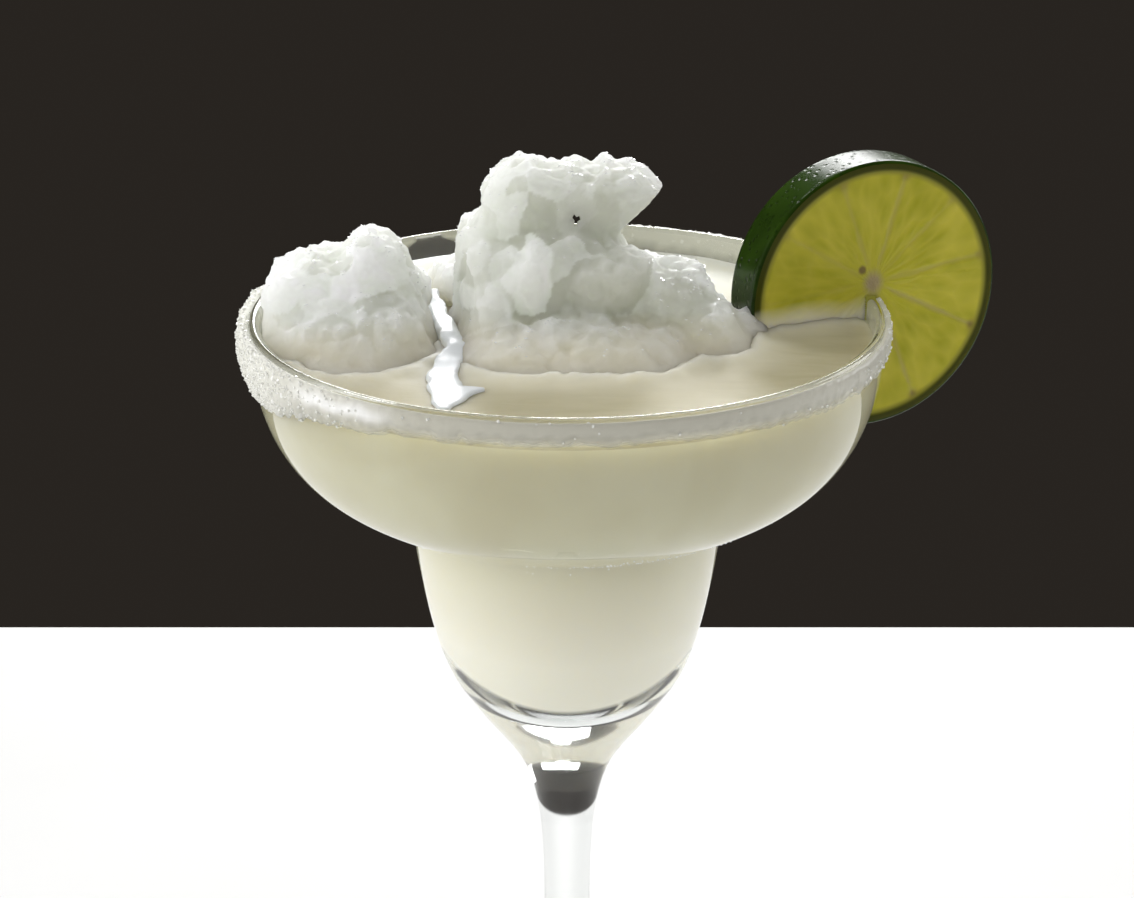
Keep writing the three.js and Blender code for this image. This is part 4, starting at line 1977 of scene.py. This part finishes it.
@dataclass
class LimeWheel:
    """The lime wheel, slit from its centre down and pushed over the rim."""

    glass: GlassVessel
    radius: float = 24.3
    front: float = -4.8  # the front face, from the wheel's middle
    back: float = 3.6
    edge: float = 0.5
    rim_angle: float = 14.5
    turn: float = 23.7
    outward: float = -0.3
    rise: float = 0.2
    peel: float = 2.0
    pith: float = 0.7
    core: Point = (-0.3, 2.2)
    core_size: Point = (1.5, 1.8)
    pip: Point = (-2.6, 4.8)
    membranes: tuple[Point, ...] = (
        (7, 0.55), (41, 0.35), (73, 0.6), (110, 0.5), (149, 0.4), (184, 0.25), (219, 0.3), (257, 0.4),
        (292, 0.85), (333, 1.0),
    )  # the direction and strength of each
    membrane_width: float = 0.42
    membrane_depth: float = 0.22
    vesicle_length: float = 4.2
    vesicles: float = 7.0  # to the radian
    vesicle_height: float = 0.28
    slush_from: float = 2.4  # how far above the drink the clinging slush starts to thin out
    slush_fade: float = 3.2
    slit_play: float = 0.06
    slit_turn: Point = (-40.0, 75.0)  # the part of the rim that the slit's shape follows
    inward: float = 0.9  # how far inside it the drink stops rising
    rings: int = 84
    steps: int = 420

    def place(self) -> Matrix:
        """Carries the wheel from its own centre, facing -Y, to the rim.

        Returns:
            The move and turn, as one matrix.
        """
        seat = self.glass.rim_radius - self.glass.wall / 2
        rim = math.radians(self.rim_angle)
        turn = math.radians(self.turn)
        centre = Vector((
            seat * math.cos(rim) + self.outward * math.cos(turn),
            seat * math.sin(rim) + self.outward * math.sin(turn),
            self.glass.height + self.rise,
        ))
        return Matrix.Translation(centre) @ Matrix.Rotation(turn, 4, "Z")

    def shore(self) -> np.ndarray:
        """Where the drink stops rising, just inside the wheel's two faces, across the glass.

        Returns:
            The places, one to a row.
        """
        reach = np.linspace(-math.sqrt(self.radius**2 - self.glass.drink_depth**2), 0.0, 60)
        faces = (self.front + self.inward, self.back - self.inward)
        places = np.vstack([np.column_stack([reach, np.full(60, y), np.zeros(60)]) for y in faces])
        carry = np.array(self.place())
        return (places @ carry[:3, :3].T + carry[:3, 3])[:, :2]

    def outline(self) -> list[Point]:
        """Radius and depth of the wheel's section, from the back's centre round the peel to the front's.

        Returns:
            The outline's points.
        """
        across = np.linspace(0.0, self.radius - self.edge, self.rings + 1)
        back = [(r, self.back) for r in across]
        front = [(r, self.front) for r in across[::-1]]
        corner = self.radius - self.edge
        rounding = arc((corner, self.back - self.edge), self.edge, 90.0, 0.0, 4)[1:]
        peel = np.linspace(self.back - self.edge, self.front + self.edge, 11)[1:-1]
        sides = [(self.radius, depth) for depth in peel]
        other = arc((corner, self.front + self.edge), self.edge, 0.0, -90.0, 4)
        return back + rounding + sides + other[:-1] + front

    def build(self) -> bpy.types.Object:
        """Makes and dresses the wheel.

        Returns:
            The finished piece.
        """
        data = turned(self.outline(), self.steps)
        corners = data.corners[:, [0, 2, 1]]
        radius = np.hypot(corners[:, 0], corners[:, 2])
        peel_corner = radius > self.radius - self.edge - 1e-4
        data.finishes = [int(peel_corner[list(face)].all()) for face in data.faces]
        marks = self.marks(corners, radius)
        corners[:, 1] += np.sign(corners[:, 1]) * marks.pop("height")
        carry = np.array(self.place())
        data.corners = corners @ carry[:3, :3].T + carry[:3, 3]
        piece = as_object("lime_slice", data, FleshFinish().material(), RindFinish().material())
        marks["slush"] = self.slush(data.corners)
        for name, values in marks.items():
            set_attribute(piece, name, values)
        self.slit(piece)
        return declare(piece, Slot.LIME, Node.LIME)

    def marks(self, corners: np.ndarray, radius: np.ndarray) -> dict[str, np.ndarray]:
        """The numbers that colour and shape the wheel's faces.

        Args:
            corners: The wheel's corners, about its own centre.
            radius: Their distances from the centre.

        Returns:
            The share of each kind of tissue at each corner, and the relief's height.
        """
        x = corners[:, 0] - self.core[0]
        z = corners[:, 2] - self.core[1]
        out = np.hypot(x, z)
        angle = np.degrees(np.arctan2(z, x)) % 360.0
        table = np.array(self.membranes)
        gaps = np.abs((angle[:, None] - table[None, :, 0] + 180.0) % 360.0 - 180.0)
        nearest = gaps.argmin(axis=1)
        strength = table[nearest, 1]
        wander = 0.35 * noise_at(corners, 4.0, 6.0)
        across = np.radians(gaps.min(axis=1)) * out + wander
        flesh_edge = self.radius - self.peel - self.pith
        thin = np.exp(-((across / self.membrane_width) ** 2))
        membrane = strength * thin * np.clip((out - 1.5) / 3.0, 0.0, 1.0)
        side = np.sign(corners[:, 1]) * 9.0
        bent = np.radians(angle) * self.vesicles + 0.35 * noise_at(corners, 3.0, 1.0)
        cells = cells_at(np.stack([bent, out / self.vesicle_length, side], axis=1))
        streaks = noise_at(np.stack([np.radians(angle) * 14.0, out / 6.0, side], axis=1), 1.0, 3.0)
        patches = noise_at(corners, 6.0, 8.0)
        vesicle = np.clip(0.1 + 0.7 * cells + 0.16 * streaks + 0.25 * patches, 0.0, 1.0)
        vesicle = 0.44 + 0.72 * (vesicle - 0.42) * np.clip(out / 11.0, 0.25, 1.0)
        pith = np.clip((radius - flesh_edge) / 0.6, 0.0, 1.0)
        peel = np.clip((radius - (self.radius - self.peel)) / 0.5, 0.0, 1.0)
        core = np.hypot(x / self.core_size[0], z / self.core_size[1])
        pip = np.hypot(corners[:, 0] - self.pip[0], corners[:, 2] - self.pip[1])
        centre = np.clip(1.6 - core + 0.3 * patches, 0.0, 1.0)
        ends = strength * np.exp(-((across / 1.1) ** 2)) * np.exp(-(((radius - flesh_edge) / 0.7) ** 2))
        brown = np.maximum(np.clip(2.2 - pip / 0.45, 0.0, 1.0), 0.8 * ends)
        raised = self.vesicle_height * (0.6 - cells) - self.membrane_depth * membrane
        height = (1.0 - pith) * raised + 0.12 * peel
        return {
            "vesicle": vesicle, "membrane": membrane, "pith": pith, "peel": peel, "core": centre,
            "brown": brown, "height": height,
        }

    def slush(self, corners: np.ndarray) -> np.ndarray:
        """How much slush clings to the wheel, just above the drink, at each corner in its place; its pale
        colour also lifts the shade in that crease as painted light.

        Args:
            corners: The wheel's corners.

        Returns:
            The share of slush at each corner.
        """
        above = corners[:, 2] - (self.glass.height - self.glass.drink_depth)
        uneven = 1.2 * noise_at(corners, 5.0, 9.0)
        cling = 1.0 - np.clip((above - self.slush_from + uneven) / self.slush_fade, 0.0, 1.0)
        within = np.hypot(corners[:, 0], corners[:, 1]) < self.glass.rim_radius - self.glass.wall
        return 0.85 * cling * within

    def slit(self, piece: bpy.types.Object) -> None:
        """Cuts the slit that the glass's wall sits in.

        Args:
            piece: The wheel.
        """
        reach = self.radius + 6.0
        bowl = [p for p in self.glass.bowl() if p[1] > self.glass.height - reach]
        outer = beside(bowl, -self.slit_play)
        inner = beside(bowl, self.glass.wall + self.slit_play)
        top = self.glass.height + self.slit_play
        section = outer[::-1] + [(outer[0][0], top), (inner[0][0], top)] + inner
        angles = np.radians(np.linspace(*self.slit_turn, 64))
        rows = np.array([[(r * math.cos(a), r * math.sin(a), z) for r, z in section] for a in angles])
        ring = wrapped(rows)
        around = len(section)
        ends = len(angles) - 1
        ring.faces = ring.faces[: ends * around]
        ring.faces.append(tuple(range(around))[::-1])
        ring.faces.append(tuple(ends * around + i for i in range(around)))
        cut_away(piece, ring.flipped(), Solver.EXACT)


# The stage


@dataclass(frozen=True)
class Softbox:
    """A soft lamp: where it stands, where it points, how large and how strong it is."""

    name: str
    place: tuple[float, float, float]
    aim: tuple[float, float, float]
    size: Point
    watts: float
    mirrored: bool = True  # whether polished things show it

    def build(self) -> None:
        """Adds the lamp."""
        light = bpy.data.lights.new(self.name, "AREA")
        light.shape = "RECTANGLE"
        light.size = self.size[0]
        light.size_y = self.size[1]
        light.energy = self.watts
        lamp = bpy.data.objects.new(self.name, light)
        lamp.location = self.place
        lamp.visible_glossy = self.mirrored
        lamp.visible_transmission = self.mirrored
        lamp.rotation_euler = (Vector(self.aim) - Vector(self.place)).to_track_quat("-Z", "Y").to_euler()
        bpy.context.scene.collection.objects.link(lamp)


@dataclass
class Studio:
    """The pale floor, the soft light and the camera."""

    floor_back: float = 262.0
    floor_front: float = 1400.0
    floor_side: float = 1300.0
    floor_thick: float = 12.0
    camera_place: tuple[float, float, float] = (0.0, -0.52326, 0.34441)
    camera_pitch: float = 20.44
    lens: float = 100.0
    sensor: float = 36.0
    backdrop: Colour = (0.0215, 0.018, 0.0148)
    lamps: tuple[Softbox, ...] = (
        Softbox("sun", (0.1, 1.5, 1.15), (0.0, 0.0, 0.14), (0.3, 0.3), 5.0),
        Softbox("high_left", (-0.65, 0.62, 1.35), (0.0, 0.0, 0.14), (0.25, 0.25), 3.0),
        Softbox("back", (0.2, 1.5, 0.85), (0.0, 0.0, 0.14), (1.0, 0.5), 13.5),
        Softbox("back_left", (-1.2, 0.7, 0.8), (0.0, 0.0, 0.15), (0.6, 0.9), 7.0, False),
        Softbox("back_right", (1.2, 0.7, 0.6), (0.0, 0.0, 0.15), (0.6, 0.9), 5.0),
        Softbox("overhead", (0.0, 0.2, 1.6), (0.0, 0.0, 0.0), (1.6, 1.6), 10.0, False),
        Softbox("left", (-1.4, -0.3, 0.5), (0.0, 0.0, 0.12), (1.2, 1.0), 12.0, False),
        Softbox("right", (1.4, -0.3, 0.5), (0.0, 0.0, 0.12), (1.2, 1.0), 5.5, False),
        Softbox("front_fill", (-0.4, -1.8, 0.9), (0.0, 0.0, 0.12), (1.6, 1.2), 12.5, False),
    )

    def floor(self) -> None:
        """Lays the floor."""
        left = -self.floor_side
        front = -self.floor_front
        outline = ((left, front), (-left, front), (-left, self.floor_back), (left, self.floor_back))
        corners = np.array([(x, y, z) for z in (0.0, -self.floor_thick) for x, y in outline])
        faces = [(0, 1, 2, 3), (7, 6, 5, 4), (0, 4, 5, 1), (1, 5, 6, 2), (2, 6, 7, 3), (3, 7, 4, 0)]
        piece = as_object("floor", MeshData(corners, faces), FloorFinish().material())
        piece.data.shade_flat()

    def camera(self) -> None:
        """Sets up the camera at the photographed angle."""
        eye = bpy.data.cameras.new("camera")
        eye.lens = self.lens
        eye.sensor_width = self.sensor
        eye.sensor_fit = "HORIZONTAL"
        camera = bpy.data.objects.new("camera", eye)
        camera.location = self.camera_place
        camera.rotation_euler = (math.radians(90.0 - self.camera_pitch), 0.0, 0.0)
        bpy.context.scene.collection.objects.link(camera)
        bpy.context.scene.camera = camera

    def build(self) -> None:
        """Sets the whole stage."""
        self.camera()
        self.floor()
        for lamp in self.lamps:
            lamp.build()
        world = bpy.data.worlds.new("backdrop")
        world.use_nodes = True
        world.node_tree.nodes["Background"].inputs["Color"].default_value = opaque(self.backdrop)
        bpy.context.scene.world = world
        bpy.context.scene.view_settings.view_transform = "Standard"


def main() -> None:
    """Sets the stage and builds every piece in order."""
    logging.basicConfig(level=logging.INFO, format="%(message)s")
    Studio().build()
    glass = GlassVessel()
    glass.build()
    heap = IceHeap(glass)
    heap.build()
    lime = LimeWheel(glass)
    Drink(glass, np.vstack([heap.shore, lime.shore()])).build()
    MeltChannel(glass).build()
    SaltRim(glass).build()
    lime.build()


if __name__ == "__main__":
    main()
